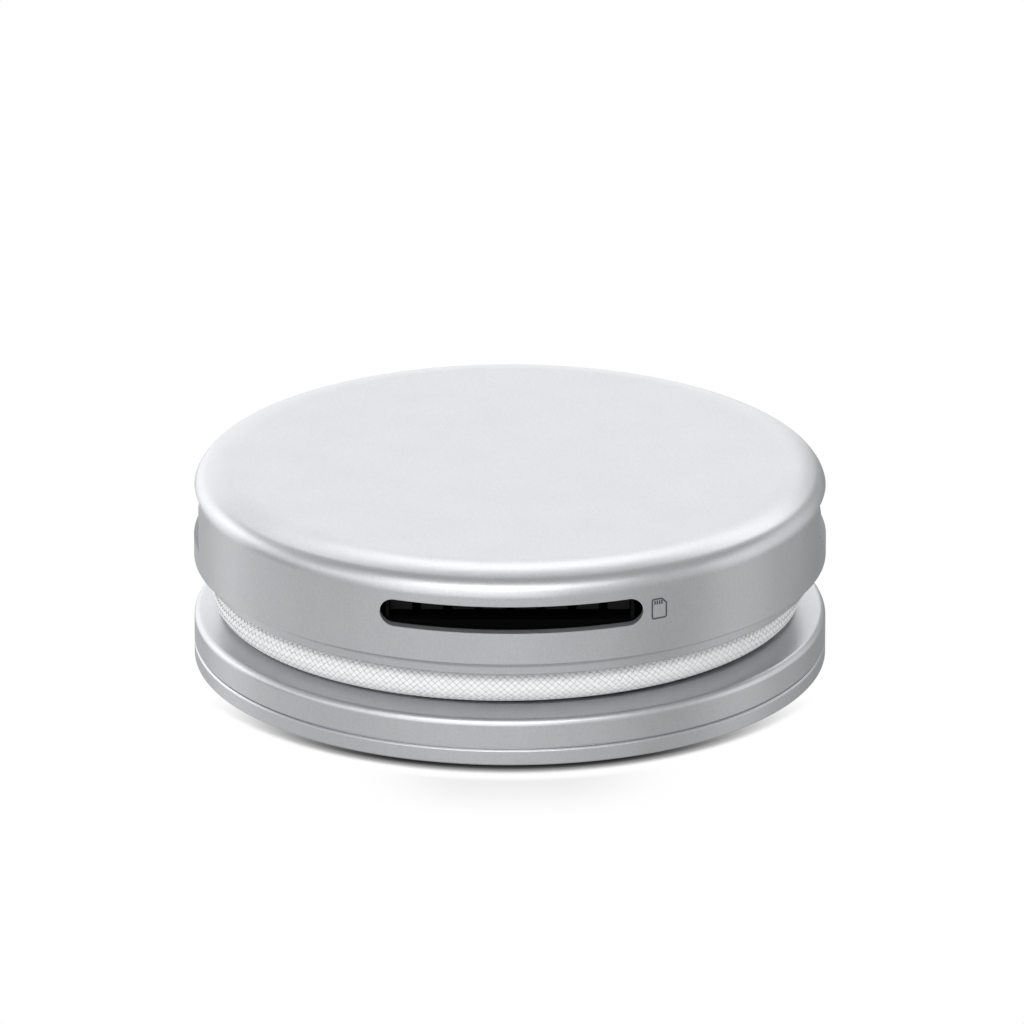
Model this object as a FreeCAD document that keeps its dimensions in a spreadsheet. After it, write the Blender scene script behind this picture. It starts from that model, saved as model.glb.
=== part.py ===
"""Round multiport adapter: an aluminium puck on a cable spool, with its sockets and its docked plug."""
import FreeCAD
import Part
import Sketcher

import math
import os
from types import SimpleNamespace

# Driving sizes in millimetres and degrees. The floor is z = 0, the card slot faces -Y, the data socket -X,
# the video socket +X, and the power socket and the docked plug +Y.
SIZES = {
    # the stack, from the floor up
    "outer_radius": 35.5,
    "foot_proud": 0.4,
    "foot_thickness": 1.1,
    "foot_inset": 3.1,
    "foot_gap": 0.2,
    "foot_edge_round": 0.3,
    "cover_band": 1.9,
    "cover_edge_round": 0.2,
    "seam_bevel": 0.24,
    "seam_relief": 0.22,
    "spigot_height": 1.0,
    "spigot_width": 1.4,
    "spigot_gap": 0.1,
    "base_band": 2.68,
    "base_wall": 2.2,
    "base_edge_round": 0.78,
    "flange_thickness": 1.6,
    "shoulder_slope": 15.0,
    "shoulder_width": 2.675,
    "groove_height": 4.2,
    "lip_height": 1.65,
    "lip_step": 1.3,
    "lip_cove": 0.7,
    "lip_brim": 0.15,
    "housing_height": 10.7,
    # the housing's walls and its soft top edge
    "wall": 1.6,
    "roof": 1.6,
    "edge_width": 5.1,
    "edge_height": 2.93,
    "edge_tight_round": 2.32,
    "lower_edge_round": 0.3,
    "inner_round": 2.0,
    # the cable, its route and its plug
    "cable_diameter": 3.9,
    "cable_depth": 4.2,
    "cable_gap": 0.15,
    "exit_bend": 12.0,
    "tail_run": 8.0,
    "dock_bend": 14.0,
    "plug_depth": 9.0,
    "boot_length": 4.5,
    "boot_width": 8.0,
    "plug_length": 15.0,
    "plug_width": 9.8,
    "plug_thickness": 4.0,
    "plug_corner": 1.9,
    "tip_length": 6.65,
    "tip_width": 8.25,
    "tip_height": 2.4,
    "tip_wall": 0.25,
    "tip_slot": 0.8,
    "dock_gap": 0.3,
    "core_wall": 1.8,
    "anchor_length": 6.5,
    "anchor_width": 7.0,
    "wire_diameter": 2.4,
    "wire_run": 1.5,
    "wire_bend": 3.0,
    "wire_gap": 0.4,
    # the board and the screws that clamp it
    "board_lift": 1.57,
    "board_thickness": 1.0,
    "board_gap": 0.5,
    "boss_radius": 2.2,
    "boss_x": 18.5,
    "boss_y": 15.5,
    "screw_radius": 1.0,
    "screw_gap": 0.05,
    "screw_head_radius": 1.9,
    "screw_head_height": 1.1,
    "housing_screw_reach": 4.0,
    "lug_radius": 2.6,
    "lug_inset": 2.4,
    "core_screw_reach": 1.2,
    "cover_boss_inset": 6.3,
    "cover_screw_head": 0.55,
    "cover_screw_reach": 2.2,
    # the card slot and its socket
    "card_slot_width": 29.1,
    "card_slot_height": 3.09,
    "card_sill": 0.07,
    "card_floor": 1.1,
    "card_setback": 4.6,
    "card_socket_width": 27.5,
    "card_socket_depth": 27.0,
    "card_width": 24.4,
    "card_headroom": 2.35,
    "card_stop": 1.8,
    "card_bar_depth": 4.0,
    "card_bar_height": 0.8,
    "card_lid": 0.25,
    "contact_setback": 2.1,
    "contact_reach": 11.7,
    "contact_width": 2.45,
    "contact_pitch": 3.44,
    "contact_sheet": 0.25,
    "contact_lift": 0.42,
    # the sockets on the rim
    "window_gap": 0.1,
    "socket_setback": 1.2,
    "shell_sheet": 0.3,
    "strip_sheet": 0.12,
    "data_width": 13.0,
    "data_height": 5.65,
    "data_depth": 14.0,
    "data_block": 4.0,
    "data_tongue_width": 11.1,
    "data_tongue_height": 1.84,
    "data_tongue_drop": 0.7,
    "data_tongue_setback": 1.0,
    "data_strip_width": 1.0,
    "data_strip_pitch": 2.4,
    "video_width": 14.9,
    "video_height": 5.55,
    "video_depth": 11.5,
    "video_block": 3.0,
    "video_corner_width": 2.1,
    "video_corner_height": 2.0,
    "video_tongue_width": 10.6,
    "video_tongue_height": 1.0,
    "video_tongue_setback": 1.6,
    "video_strip_width": 0.4,
    "video_strip_pitch": 1.0,
    "power_width": 8.94,
    "power_height": 3.26,
    "power_depth": 7.3,
    "power_block": 2.0,
    "power_tongue_width": 6.7,
    "power_tongue_height": 0.7,
    "power_tongue_setback": 0.9,
    "power_strip_width": 0.25,
    "power_strip_pitch": 0.5,
    # what is soldered to the board
    "hub_chip_side": 9.0,
    "video_chip_side": 7.0,
    "chip_height": 0.9,
    "chip_bevel": 0.2,
    "chip_row": 8.0,
    "chip_spacing": 11.0,
    "coil_side": 5.0,
    "coil_height": 2.6,
    "coil_round": 1.0,
    "crystal_length": 3.2,
    "crystal_width": 2.5,
    "crystal_height": 0.8,
    "capacitor_length": 1.6,
    "capacitor_width": 0.8,
    "capacitor_pitch": 2.2,
    "capacitor_gap": 2.6,
    "header_length": 8.0,
    "header_width": 5.0,
}
CORE_SCREW_ANGLES = (-90.0, 25.0, 205.0)
COVER_SCREW_ANGLES = (-45.0, 75.0, 195.0)
CARD_CONTACTS = 8
DATA_STRIPS = 4
VIDEO_STRIPS = 10
POWER_STRIPS = 12
CAPACITORS = 6

doc = FreeCAD.newDocument("multiport_adapter")
sheet = doc.addObject("Spreadsheet::Sheet", "Sizes")
for row, (alias, number) in enumerate(SIZES.items(), start=1):
    sheet.set(f"A{row}", alias)
    sheet.set(f"B{row}", str(number))
    sheet.setAlias(f"B{row}", alias)
doc.recompute()


class Size:
    """A length: the expression that gives it from the sheet, and the number it has now."""

    def __init__(self, text, value):
        self.text = text
        self.value = value

    def join(self, sign, other, value):
        return Size(f"({self.text} {sign} {other.text})", value)

    def __add__(self, other):
        other = as_size(other)
        return self.join("+", other, self.value + other.value)

    def __sub__(self, other):
        other = as_size(other)
        return self.join("-", other, self.value - other.value)

    def __mul__(self, other):
        other = as_size(other)
        return self.join("*", other, self.value * other.value)

    def __truediv__(self, other):
        other = as_size(other)
        return self.join("/", other, self.value / other.value)

    def __radd__(self, other):
        return as_size(other) + self

    def __rsub__(self, other):
        return as_size(other) - self

    def __rmul__(self, other):
        return as_size(other) * self

    def __neg__(self):
        return Size(f"(0 - {self.text})", -self.value)


def as_size(number):
    return number if isinstance(number, Size) else Size(f"({number})", number)


def sine(angle):
    angle = as_size(angle)
    return Size(f"sin({angle.text})", math.sin(math.radians(angle.value)))


def cosine(angle):
    angle = as_size(angle)
    return Size(f"cos({angle.text})", math.cos(math.radians(angle.value)))


def other_leg(leg, longest=1.0):
    """The third side of a right triangle."""
    longest = as_size(longest)
    return Size(f"sqrt({longest.text} ^ 2 - {leg.text} ^ 2)", math.sqrt(longest.value ** 2 - leg.value ** 2))


def bind(item, path, size):
    """Tie one property of an object to the sheet."""
    item.setExpression(path, as_size(size).text)


s = SimpleNamespace(**{alias: Size(f"Sizes.{alias}", number) for alias, number in SIZES.items()})

# Levels and radii that several pieces share, worked out from the driving sizes.
cover_low = s.foot_proud
cover_top = cover_low + s.cover_band
base_edge = cover_top + s.base_band
shoulder_edge = base_edge + s.base_edge_round * cosine(s.shoulder_slope)
shoulder_top = shoulder_edge + s.shoulder_width * sine(s.shoulder_slope) / cosine(s.shoulder_slope)
flange_low = shoulder_top - s.flange_thickness
groove_top = shoulder_top + s.groove_height
groove_mid = shoulder_top + s.groove_height / 2
housing_low = groove_top + s.lip_height
housing_top = housing_low + s.housing_height
roof_low = housing_top - s.roof
board_low = housing_low + s.board_lift
board_top = board_low + s.board_thickness
inner_radius = s.outer_radius - s.wall
lip_radius = s.outer_radius - s.lip_step
foot_radius = s.outer_radius - s.foot_inset
base_bore = s.outer_radius - s.base_wall
cover_circle = base_bore - s.cover_boss_inset
wrap_radius = s.outer_radius - s.cable_depth
core_radius = wrap_radius - s.cable_diameter / 2 - s.cable_gap
core_bore = core_radius - s.core_wall
lug_circle = core_bore - s.lug_inset
plug_y = s.outer_radius - s.plug_depth
head_pocket = s.screw_head_radius + s.screw_gap
screw_hole = s.screw_radius + s.screw_gap
floor_level = board_top + s.card_floor
card_front = s.outer_radius - s.card_setback
card_lid_low = floor_level + s.card_headroom + s.card_bar_height
socket_front = s.outer_radius - s.socket_setback


# Sketching helpers: every corner, centre and radius is a constraint that reads the sheet.

def new_body(label):
    body = doc.addObject("PartDesign::Body", label)
    body.Label = label
    return body


def new_sketch(body, name, plane, lift=0.0):
    """A sketch on one of the body's own origin planes, lifted along the plane's normal."""
    sketch = body.newObject("Sketcher::SketchObject", f"{body.Name}_{name}")
    support = next(feature for feature in body.Origin.OriginFeatures if feature.Role == plane)
    sketch.AttachmentSupport = [(support, "")]
    sketch.MapMode = "FlatFace"
    bind(sketch, "AttachmentOffset.Base.z", lift)
    return sketch


def constrain(sketch, kind, where, size):
    index = sketch.addConstraint(Sketcher.Constraint(kind, *where, as_size(size).value))
    bind(sketch, f"Constraints[{index}]", size)


def draw_loop(sketch, corners):
    """A closed outline. A corner is (x, y), or (x, y, radius) where the edge that leaves it is an arc.

    A positive radius turns left along the outline, a negative one turns right. A half circle also states
    the x of its centre, because its radius alone can't place it.
    """
    spots = [FreeCAD.Vector(as_size(corner[0]).value, as_size(corner[1]).value, 0) for corner in corners]
    edges = []
    for index, corner in enumerate(corners):
        start = spots[index]
        end = spots[(index + 1) % len(spots)]
        if len(corner) == 2:
            edges.append((sketch.addGeometry(Part.LineSegment(start, end)), 1, 2))
            continue
        radius = as_size(corner[2])
        left = 1 if radius.value > 0 else -1
        chord = end - start
        half = chord.Length / 2
        rise = abs(radius.value) - math.sqrt(max(radius.value ** 2 - half ** 2, 0.0))
        side = FreeCAD.Vector(chord.y, -chord.x, 0).normalize()
        middle = (start + end) / 2 + side * (left * rise)
        edge = sketch.addGeometry(Part.Arc(start, middle, end))
        if len(corner) == 4:
            constrain(sketch, "DistanceX", (edge, 3), corner[3])
        else:
            constrain(sketch, "Radius", (edge,), radius if left > 0 else -radius)
        edges.append((edge, 1, 2) if left > 0 else (edge, 2, 1))
    for index, corner in enumerate(corners):
        edge, first, last = edges[index]
        following = edges[(index + 1) % len(edges)]
        sketch.addConstraint(Sketcher.Constraint("Coincident", edge, last, following[0], following[1]))
        constrain(sketch, "DistanceX", (edge, first), corner[0])
        constrain(sketch, "DistanceY", (edge, first), corner[1])


def draw_circle(sketch, x, y, radius):
    centre = FreeCAD.Vector(as_size(x).value, as_size(y).value, 0)
    edge = sketch.addGeometry(Part.Circle(centre, FreeCAD.Vector(0, 0, 1), as_size(radius).value))
    constrain(sketch, "Radius", (edge,), radius)
    constrain(sketch, "DistanceX", (edge, 3), x)
    constrain(sketch, "DistanceY", (edge, 3), y)


def draw_box(sketch, x_low, x_high, y_low, y_high):
    draw_loop(sketch, [(x_low, y_low), (x_high, y_low), (x_high, y_high), (x_low, y_high)])


def draw_round_box(sketch, x, y, width, height, corner):
    """A rectangle with round corners about (x, y)."""
    right = x + width / 2
    left = x - width / 2
    top = y + height / 2
    low = y - height / 2
    draw_loop(sketch, [
        (left + corner, low), (right - corner, low, corner),
        (right, low + corner), (right, top - corner, corner),
        (right - corner, top), (left + corner, top, corner),
        (left, top - corner), (left, low + corner, corner)])


def draw_stadium(sketch, x, y, width, height):
    end = height / 2
    right = x + width / 2 - end
    left = x - width / 2 + end
    draw_loop(sketch, [(left, y - end), (right, y - end, end, right),
                       (right, y + end), (left, y + end, end, left)])


def revolve(body, sketch):
    turn = body.newObject("PartDesign::Revolution", f"{body.Name}_turn")
    turn.Profile = sketch
    turn.ReferenceAxis = (sketch, ["V_Axis"])
    turn.Angle = 360.0
    sketch.Visibility = False
    return turn


def pad(body, sketch, length, reverse=False):
    feature = body.newObject("PartDesign::Pad", f"{sketch.Name}_pad")
    feature.Profile = sketch
    bind(feature, "Length", length)
    feature.Reversed = reverse
    return feature


def pocket(body, sketch, length, reverse=False):
    """Cut a sketch out of the body, and make sure that it took something away."""
    before = body.Shape.Volume
    feature = body.newObject("PartDesign::Pocket", f"{sketch.Name}_pocket")
    feature.Profile = sketch
    bind(feature, "Length", length)
    feature.Reversed = reverse
    doc.recompute()
    if body.Shape.Volume > before - 1e-6:
        raise RuntimeError(f"{sketch.Name} cuts nothing: {feature.State}")
    return feature


def block(name, x_low, x_high, y_low, y_high, z_low, z_high):
    """A plain box between six bound faces."""
    box = doc.addObject("Part::Box", name)
    box.Label = name
    for axis, side, low, high in (("x", "Length", x_low, x_high), ("y", "Width", y_low, y_high),
                                  ("z", "Height", z_low, z_high)):
        bind(box, side, as_size(high) - low)
        bind(box, f"Placement.Base.{axis}", low)
    return box


def rod(name, x, y, z_low, z_high, radius):
    """An upright cylinder."""
    cylinder = doc.addObject("Part::Cylinder", name)
    cylinder.Label = name
    bind(cylinder, "Radius", radius)
    bind(cylinder, "Height", as_size(z_high) - z_low)
    for axis, place in (("x", x), ("y", y), ("z", z_low)):
        bind(cylinder, f"Placement.Base.{axis}", place)
    return cylinder


def fuse(name, pieces):
    union = doc.addObject("Part::MultiFuse", name)
    union.Label = name
    union.Shapes = pieces
    return union


def cut(name, base, tool):
    result = doc.addObject("Part::Cut", name)
    result.Label = name
    result.Base = base
    result.Tool = tool
    return result


def group(label, pieces):
    """Like pieces that stay separate solids in one node."""
    compound = doc.addObject("Part::Compound", label)
    compound.Label = label
    compound.Links = pieces
    return compound


def on_circle(radius, angle):
    return radius * cosine(angle), radius * sine(angle)


def boss_spots():
    return [(s.boss_x * x, s.boss_y * y) for x in (-1, 1) for y in (-1, 1)]


# Top housing: a cup with a soft two-arc top edge, windows for the sockets and four screw bosses.

def make_top_housing():
    body = new_body("top_housing")
    wide_round = (s.edge_width * s.edge_width + s.edge_height * s.edge_height
                  - 2 * s.edge_width * s.edge_tight_round) / (2 * (s.edge_height - s.edge_tight_round))
    reach = wide_round - s.edge_tight_round
    wall_top = housing_top - s.edge_height
    join_radius = s.outer_radius - s.edge_tight_round + (
        s.edge_tight_round * (s.edge_width - s.edge_tight_round) / reach)
    join_level = wall_top + s.edge_tight_round * (wide_round - s.edge_height) / reach
    profile = new_sketch(body, "profile", "XZ_Plane")
    draw_loop(profile, [
        (inner_radius, housing_low), (s.outer_radius - s.lower_edge_round, housing_low, s.lower_edge_round),
        (s.outer_radius, housing_low + s.lower_edge_round),
        (s.outer_radius, wall_top, s.edge_tight_round),
        (join_radius, join_level, wide_round),
        (s.outer_radius - s.edge_width, housing_top), (0.0, housing_top), (0.0, roof_low),
        (inner_radius - s.inner_round, roof_low, -s.inner_round),
        (inner_radius, roof_low - s.inner_round)])
    revolve(body, profile)
    bosses = new_sketch(body, "bosses", "XY_Plane", board_top)
    for x, y in boss_spots():
        draw_circle(bosses, x, y, s.boss_radius)
    pad(body, bosses, roof_low - board_top + s.roof / 2)
    doc.recompute()
    holes = new_sketch(body, "screw_holes", "XY_Plane", board_top)
    for x, y in boss_spots():
        draw_circle(holes, x, y, screw_hole)
    pocket(body, holes, s.housing_screw_reach + s.screw_gap, reverse=True)
    beyond_wall = s.outer_radius + s.wall
    slot = new_sketch(body, "card_slot", "XZ_Plane")
    draw_stadium(slot, as_size(0.0), floor_level + s.card_sill + s.card_slot_height / 2,
                 s.card_slot_width, s.card_slot_height)
    pocket(body, slot, beyond_wall, reverse=True)
    data_window = new_sketch(body, "data_window", "YZ_Plane")
    draw_box(data_window, -s.data_width / 2 - s.window_gap, s.data_width / 2 + s.window_gap,
             board_top - s.window_gap, board_top + s.data_height + s.window_gap)
    pocket(body, data_window, beyond_wall)
    video_window = new_sketch(body, "video_window", "YZ_Plane")
    draw_loop(video_window, video_outline(s.window_gap))
    pocket(body, video_window, beyond_wall, reverse=True)
    power_window = new_sketch(body, "power_window", "XZ_Plane")
    draw_stadium(power_window, as_size(0.0), board_top + s.power_height / 2,
                 s.power_width + 2 * s.window_gap, s.power_height + 2 * s.window_gap)
    pocket(body, power_window, beyond_wall)
    return body


def video_outline(margin):
    """The video socket's section: a rectangle whose lower corners are cut off, grown by a margin."""
    half = s.video_width / 2 + margin
    low = board_top - margin
    top = board_top + s.video_height + margin
    return [(-half + s.video_corner_width, low), (half - s.video_corner_width, low),
            (half, low + s.video_corner_height), (half, top), (-half, top),
            (-half, low + s.video_corner_height)]


# Mid plate: closes the housing, shows as the recessed lip that curves out under it, and carries the posts.

def make_mid_plate():
    body = new_body("mid_plate")
    profile = new_sketch(body, "profile", "XZ_Plane")
    spigot = inner_radius - s.spigot_gap
    brim_low = housing_low - s.lip_brim
    draw_loop(profile, [
        (0.0, groove_top), (lip_radius, groove_top), (lip_radius, brim_low - s.lip_cove, -s.lip_cove),
        (lip_radius + s.lip_cove, brim_low), (lip_radius + s.lip_cove, housing_low), (spigot, housing_low),
        (spigot, housing_low + s.spigot_height), (spigot - s.spigot_width, housing_low + s.spigot_height),
        (spigot - s.spigot_width, housing_low), (0.0, housing_low)])
    revolve(body, profile)
    posts = new_sketch(body, "posts", "XY_Plane", housing_low - s.lip_height / 2)
    for x, y in boss_spots():
        draw_circle(posts, x, y, s.boss_radius)
    pad(body, posts, s.board_lift + s.lip_height / 2)
    doc.recompute()
    holes = new_sketch(body, "screw_holes", "XY_Plane", groove_top)
    for x, y in boss_spots():
        draw_circle(holes, x, y, screw_hole)
    pocket(body, holes, s.lip_height + s.board_lift, reverse=True)
    heads = new_sketch(body, "screw_heads", "XY_Plane", groove_top)
    for x, y in boss_spots():
        draw_circle(heads, x, y, head_pocket)
    pocket(body, heads, s.screw_head_height + s.screw_gap, reverse=True)
    threads = new_sketch(body, "core_threads", "XY_Plane", groove_top)
    for angle in CORE_SCREW_ANGLES:
        draw_circle(threads, *on_circle(lug_circle, angle), screw_hole)
    pocket(body, threads, s.core_screw_reach + s.screw_gap, reverse=True)
    window = new_sketch(body, "wire_window", "XY_Plane", groove_top)
    draw_circle(window, wire_x, tail_y, s.wire_diameter / 2 + s.wire_gap)
    pocket(body, window, s.lip_height, reverse=True)
    return body


# The cable's route, seen from above: from its anchor in the core it bends out through the wall, runs once
# round the groove and bends in again to the plug, which lies across the back.
dock_floor = plug_y - s.plug_width / 2 - s.dock_gap
dock_wall = dock_floor - s.core_wall
tail_y = dock_wall - s.cable_gap - s.cable_diameter / 2
exit_cosine = (tail_y - s.exit_bend) / (wrap_radius - s.exit_bend)
exit_sine = other_leg(exit_cosine)
exit_centre_x = -(wrap_radius - s.exit_bend) * exit_sine
exit_centre_y = (wrap_radius - s.exit_bend) * exit_cosine
anchor_x = exit_centre_x + s.tail_run
wire_x = anchor_x + s.anchor_length + s.wire_run + s.wire_bend
dock_cosine = (plug_y - s.dock_bend) / (wrap_radius - s.dock_bend)
dock_sine = other_leg(dock_cosine)
dock_centre_x = (wrap_radius - s.dock_bend) * dock_sine
dock_centre_y = (wrap_radius - s.dock_bend) * dock_cosine
boot_x = dock_centre_x
plug_x = boot_x - s.boot_length
tip_x = plug_x - s.plug_length
tip_end = tip_x - s.tip_length


def make_spool_core():
    """Moulded drum behind the cable, with screw lugs, the plug's dock and the two cable channels."""
    body = new_body("spool_core")
    disc = new_sketch(body, "disc", "XY_Plane", shoulder_top)
    draw_circle(disc, 0.0, 0.0, core_radius)
    pad(body, disc, s.groove_height)
    doc.recompute()
    half_chord = other_leg(dock_wall, core_bore)
    cavity = new_sketch(body, "cavity", "XY_Plane", shoulder_top)
    draw_loop(cavity, [(-half_chord, dock_wall, core_bore), (0.0, -core_bore, core_bore),
                       (half_chord, dock_wall)])
    pocket(body, cavity, s.groove_height, reverse=True)
    lugs = new_sketch(body, "lugs", "XY_Plane", shoulder_top)
    for angle in CORE_SCREW_ANGLES:
        draw_circle(lugs, *on_circle(lug_circle, angle), s.lug_radius)
    pad(body, lugs, s.groove_height)
    doc.recompute()
    holes = new_sketch(body, "lug_holes", "XY_Plane", shoulder_top)
    for angle in CORE_SCREW_ANGLES:
        draw_circle(holes, *on_circle(lug_circle, angle), screw_hole)
    pocket(body, holes, s.groove_height, reverse=True)
    dock = new_sketch(body, "dock", "XY_Plane", shoulder_top)
    draw_box(dock, tip_end - s.dock_gap, boot_x + s.dock_gap, dock_floor, s.outer_radius)
    pocket(body, dock, s.groove_height, reverse=True)
    channel = s.cable_diameter / 2 + s.cable_gap
    exit_channel = new_sketch(body, "exit_channel", "XY_Plane", shoulder_top)
    wide = s.exit_bend + channel
    tight = s.exit_bend - channel
    draw_loop(exit_channel, [
        (exit_centre_x, tail_y + channel, wide),
        (exit_centre_x - wide * exit_sine, exit_centre_y + wide * exit_cosine),
        (exit_centre_x - tight * exit_sine, exit_centre_y + tight * exit_cosine, -tight),
        (exit_centre_x, tail_y - channel)])
    pocket(body, exit_channel, s.groove_height, reverse=True)
    dock_channel = new_sketch(body, "dock_channel", "XY_Plane", shoulder_top)
    wide = s.dock_bend + channel
    tight = s.dock_bend - channel
    draw_loop(dock_channel, [
        (dock_centre_x + wide * dock_sine, dock_centre_y + wide * dock_cosine, wide),
        (dock_centre_x, dock_centre_y + wide), (dock_centre_x, dock_centre_y + tight, -tight),
        (dock_centre_x + tight * dock_sine, dock_centre_y + tight * dock_cosine)])
    pocket(body, dock_channel, s.groove_height, reverse=True)
    return body


# Base shell: the lower flange, with a round edge and a sloped shoulder that lets the cable be lifted out.

def make_base_shell():
    body = new_body("base_shell")
    profile = new_sketch(body, "profile", "XZ_Plane")
    edge_radius = s.outer_radius - s.base_edge_round + s.base_edge_round * sine(s.shoulder_slope)
    draw_loop(profile, [
        (base_bore, cover_top), (s.outer_radius - s.seam_relief, cover_top),
        (s.outer_radius, cover_top + s.seam_relief),
        (s.outer_radius, base_edge, s.base_edge_round),
        (edge_radius, shoulder_edge), (edge_radius - s.shoulder_width, shoulder_top), (0.0, shoulder_top),
        (0.0, flange_low), (base_bore, flange_low)])
    revolve(body, profile)
    bosses = new_sketch(body, "cover_bosses", "XY_Plane", cover_top)
    for angle in COVER_SCREW_ANGLES:
        draw_circle(bosses, *on_circle(cover_circle, angle), s.boss_radius)
    pad(body, bosses, flange_low - cover_top + s.flange_thickness / 2)
    doc.recompute()
    threads = new_sketch(body, "cover_threads", "XY_Plane", cover_top)
    for angle in COVER_SCREW_ANGLES:
        draw_circle(threads, *on_circle(cover_circle, angle), screw_hole)
    pocket(body, threads, s.cover_screw_reach + s.screw_gap, reverse=True)
    holes = new_sketch(body, "core_screw_holes", "XY_Plane", flange_low)
    for angle in CORE_SCREW_ANGLES:
        draw_circle(holes, *on_circle(lug_circle, angle), screw_hole)
    pocket(body, holes, s.flange_thickness, reverse=True)
    return body


# Bottom cover: the lower band, bevelled at the seam, with a recess for the foot.

def make_bottom_cover():
    body = new_body("bottom_cover")
    profile = new_sketch(body, "profile", "XZ_Plane")
    recess = foot_radius + s.foot_gap
    spigot = base_bore - s.spigot_gap
    draw_loop(profile, [
        (0.0, s.foot_thickness), (recess, s.foot_thickness), (recess, cover_low),
        (s.outer_radius - s.cover_edge_round, cover_low, s.cover_edge_round),
        (s.outer_radius, cover_low + s.cover_edge_round), (s.outer_radius, cover_top - s.seam_bevel),
        (s.outer_radius - s.seam_bevel, cover_top), (spigot, cover_top),
        (spigot, cover_top + s.spigot_height), (spigot - s.spigot_width, cover_top + s.spigot_height),
        (spigot - s.spigot_width, cover_top), (0.0, cover_top)])
    revolve(body, profile)
    doc.recompute()
    holes = new_sketch(body, "screw_holes", "XY_Plane", s.foot_thickness)
    for angle in COVER_SCREW_ANGLES:
        draw_circle(holes, *on_circle(cover_circle, angle), screw_hole)
    pocket(body, holes, cover_top - s.foot_thickness, reverse=True)
    heads = new_sketch(body, "screw_heads", "XY_Plane", s.foot_thickness)
    for angle in COVER_SCREW_ANGLES:
        draw_circle(heads, *on_circle(cover_circle, angle), head_pocket)
    pocket(body, heads, s.cover_screw_head, reverse=True)
    return body


def make_rubber_foot():
    """Soft pad glued into the cover's recess; it hides the cover's screws."""
    body = new_body("rubber_foot")
    profile = new_sketch(body, "profile", "XZ_Plane")
    draw_loop(profile, [
        (0.0, 0.0), (foot_radius - s.foot_edge_round, 0.0, s.foot_edge_round),
        (foot_radius, s.foot_edge_round), (foot_radius, s.foot_thickness), (0.0, s.foot_thickness)])
    revolve(body, profile)
    return body


# Screws: round heads with plain shanks, driven from below.

def make_screws(label, spots, head_low, head_height, top):
    screws = []
    for index, (x, y) in enumerate(spots, start=1):
        head = rod(f"{label}_head_{index}", x, y, head_low, head_low + head_height, s.screw_head_radius)
        shank = rod(f"{label}_shank_{index}", x, y, head_low, top, s.screw_radius)
        screws.append(fuse(f"{label}_{index}", [head, shank]))
    return group(label, screws)


# Main board and what is soldered to it.

def make_main_board():
    body = new_body("main_board")
    disc = new_sketch(body, "disc", "XY_Plane", board_low)
    draw_circle(disc, 0.0, 0.0, inner_radius - s.board_gap)
    pad(body, disc, s.board_thickness)
    doc.recompute()
    holes = new_sketch(body, "screw_holes", "XY_Plane", board_low)
    for x, y in boss_spots():
        draw_circle(holes, x, y, screw_hole)
    pocket(body, holes, s.board_thickness, reverse=True)
    return body


def make_chip(label, x, y, side):
    """A flat moulded package with bevelled upper edges."""
    body = new_body(label)
    outline = new_sketch(body, "outline", "XY_Plane", board_top)
    draw_box(outline, x - side / 2, x + side / 2, y - side / 2, y + side / 2)
    slab = pad(body, outline, s.chip_height)
    doc.recompute()
    rim = upper_edges(slab.Shape, board_top + s.chip_height)
    bevel = body.newObject("PartDesign::Chamfer", f"{label}_bevel")
    bevel.Base = (slab, rim)
    bind(bevel, "Size", s.chip_bevel)
    return body


def upper_edges(shape, level):
    """Names of the edges that lie in the plane z = level."""
    return [f"Edge{index}" for index, edge in enumerate(shape.Edges, start=1)
            if all(abs(vertex.Z - level.value) < 1e-4 for vertex in edge.Vertexes)]


def make_power_coil():
    body = new_body("power_coil")
    outline = new_sketch(body, "outline", "XY_Plane", board_top)
    draw_round_box(outline, s.chip_spacing, as_size(s.chip_row), s.coil_side, s.coil_side, s.coil_round)
    pad(body, outline, s.coil_height)
    return body


def make_crystal():
    x = -s.chip_spacing / 2
    y = s.chip_row + s.hub_chip_side
    return block("crystal", x - s.crystal_length / 2, x + s.crystal_length / 2,
                 y - s.crystal_width / 2, y + s.crystal_width / 2, board_top, board_top + s.crystal_height)


def make_board_capacitors():
    far_y = tail_y - s.header_width / 2 - s.capacitor_gap
    pieces = []
    for index in range(CAPACITORS):
        x = s.capacitor_pitch * (index - (CAPACITORS - 1) / 2)
        pieces.append(block(f"capacitor_{index + 1}", x - s.capacitor_width / 2, x + s.capacitor_width / 2,
                            far_y - s.capacitor_length, far_y,
                            board_low - s.capacitor_width, board_low))
    return group("board_capacitors", pieces)


# Card socket: an open tray with a cross bar, a sheet lid, and eight spring contacts with turned-up tips.

def make_card_socket_body():
    body = new_body("card_socket_body")
    half = s.card_socket_width / 2
    back = card_front - s.card_socket_depth
    tray = new_sketch(body, "tray", "XY_Plane", board_top)
    draw_box(tray, -half, half, -card_front, -back)
    pad(body, tray, card_lid_low - board_top)
    doc.recompute()
    path = new_sketch(body, "card_path", "XZ_Plane", back + s.card_stop)
    draw_box(path, -s.card_width / 2, s.card_width / 2, floor_level, floor_level + s.card_headroom)
    pocket(body, path, s.card_socket_depth, reverse=True)
    mouth = new_sketch(body, "mouth", "XY_Plane", floor_level)
    bar_front = card_front - s.contact_setback - s.contact_reach
    contact_row = s.contact_pitch * (CARD_CONTACTS - 1) / 2 + s.contact_width / 2 + s.window_gap
    draw_box(mouth, -contact_row, contact_row, -card_front, -bar_front)
    pocket(body, mouth, card_lid_low - floor_level, reverse=True)
    rear_gap = new_sketch(body, "rear_gap", "XY_Plane", floor_level)
    draw_box(rear_gap, -s.card_width / 2, s.card_width / 2,
             -bar_front + s.card_bar_depth, -back - s.card_stop)
    pocket(body, rear_gap, card_lid_low - floor_level, reverse=True)
    return body


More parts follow.
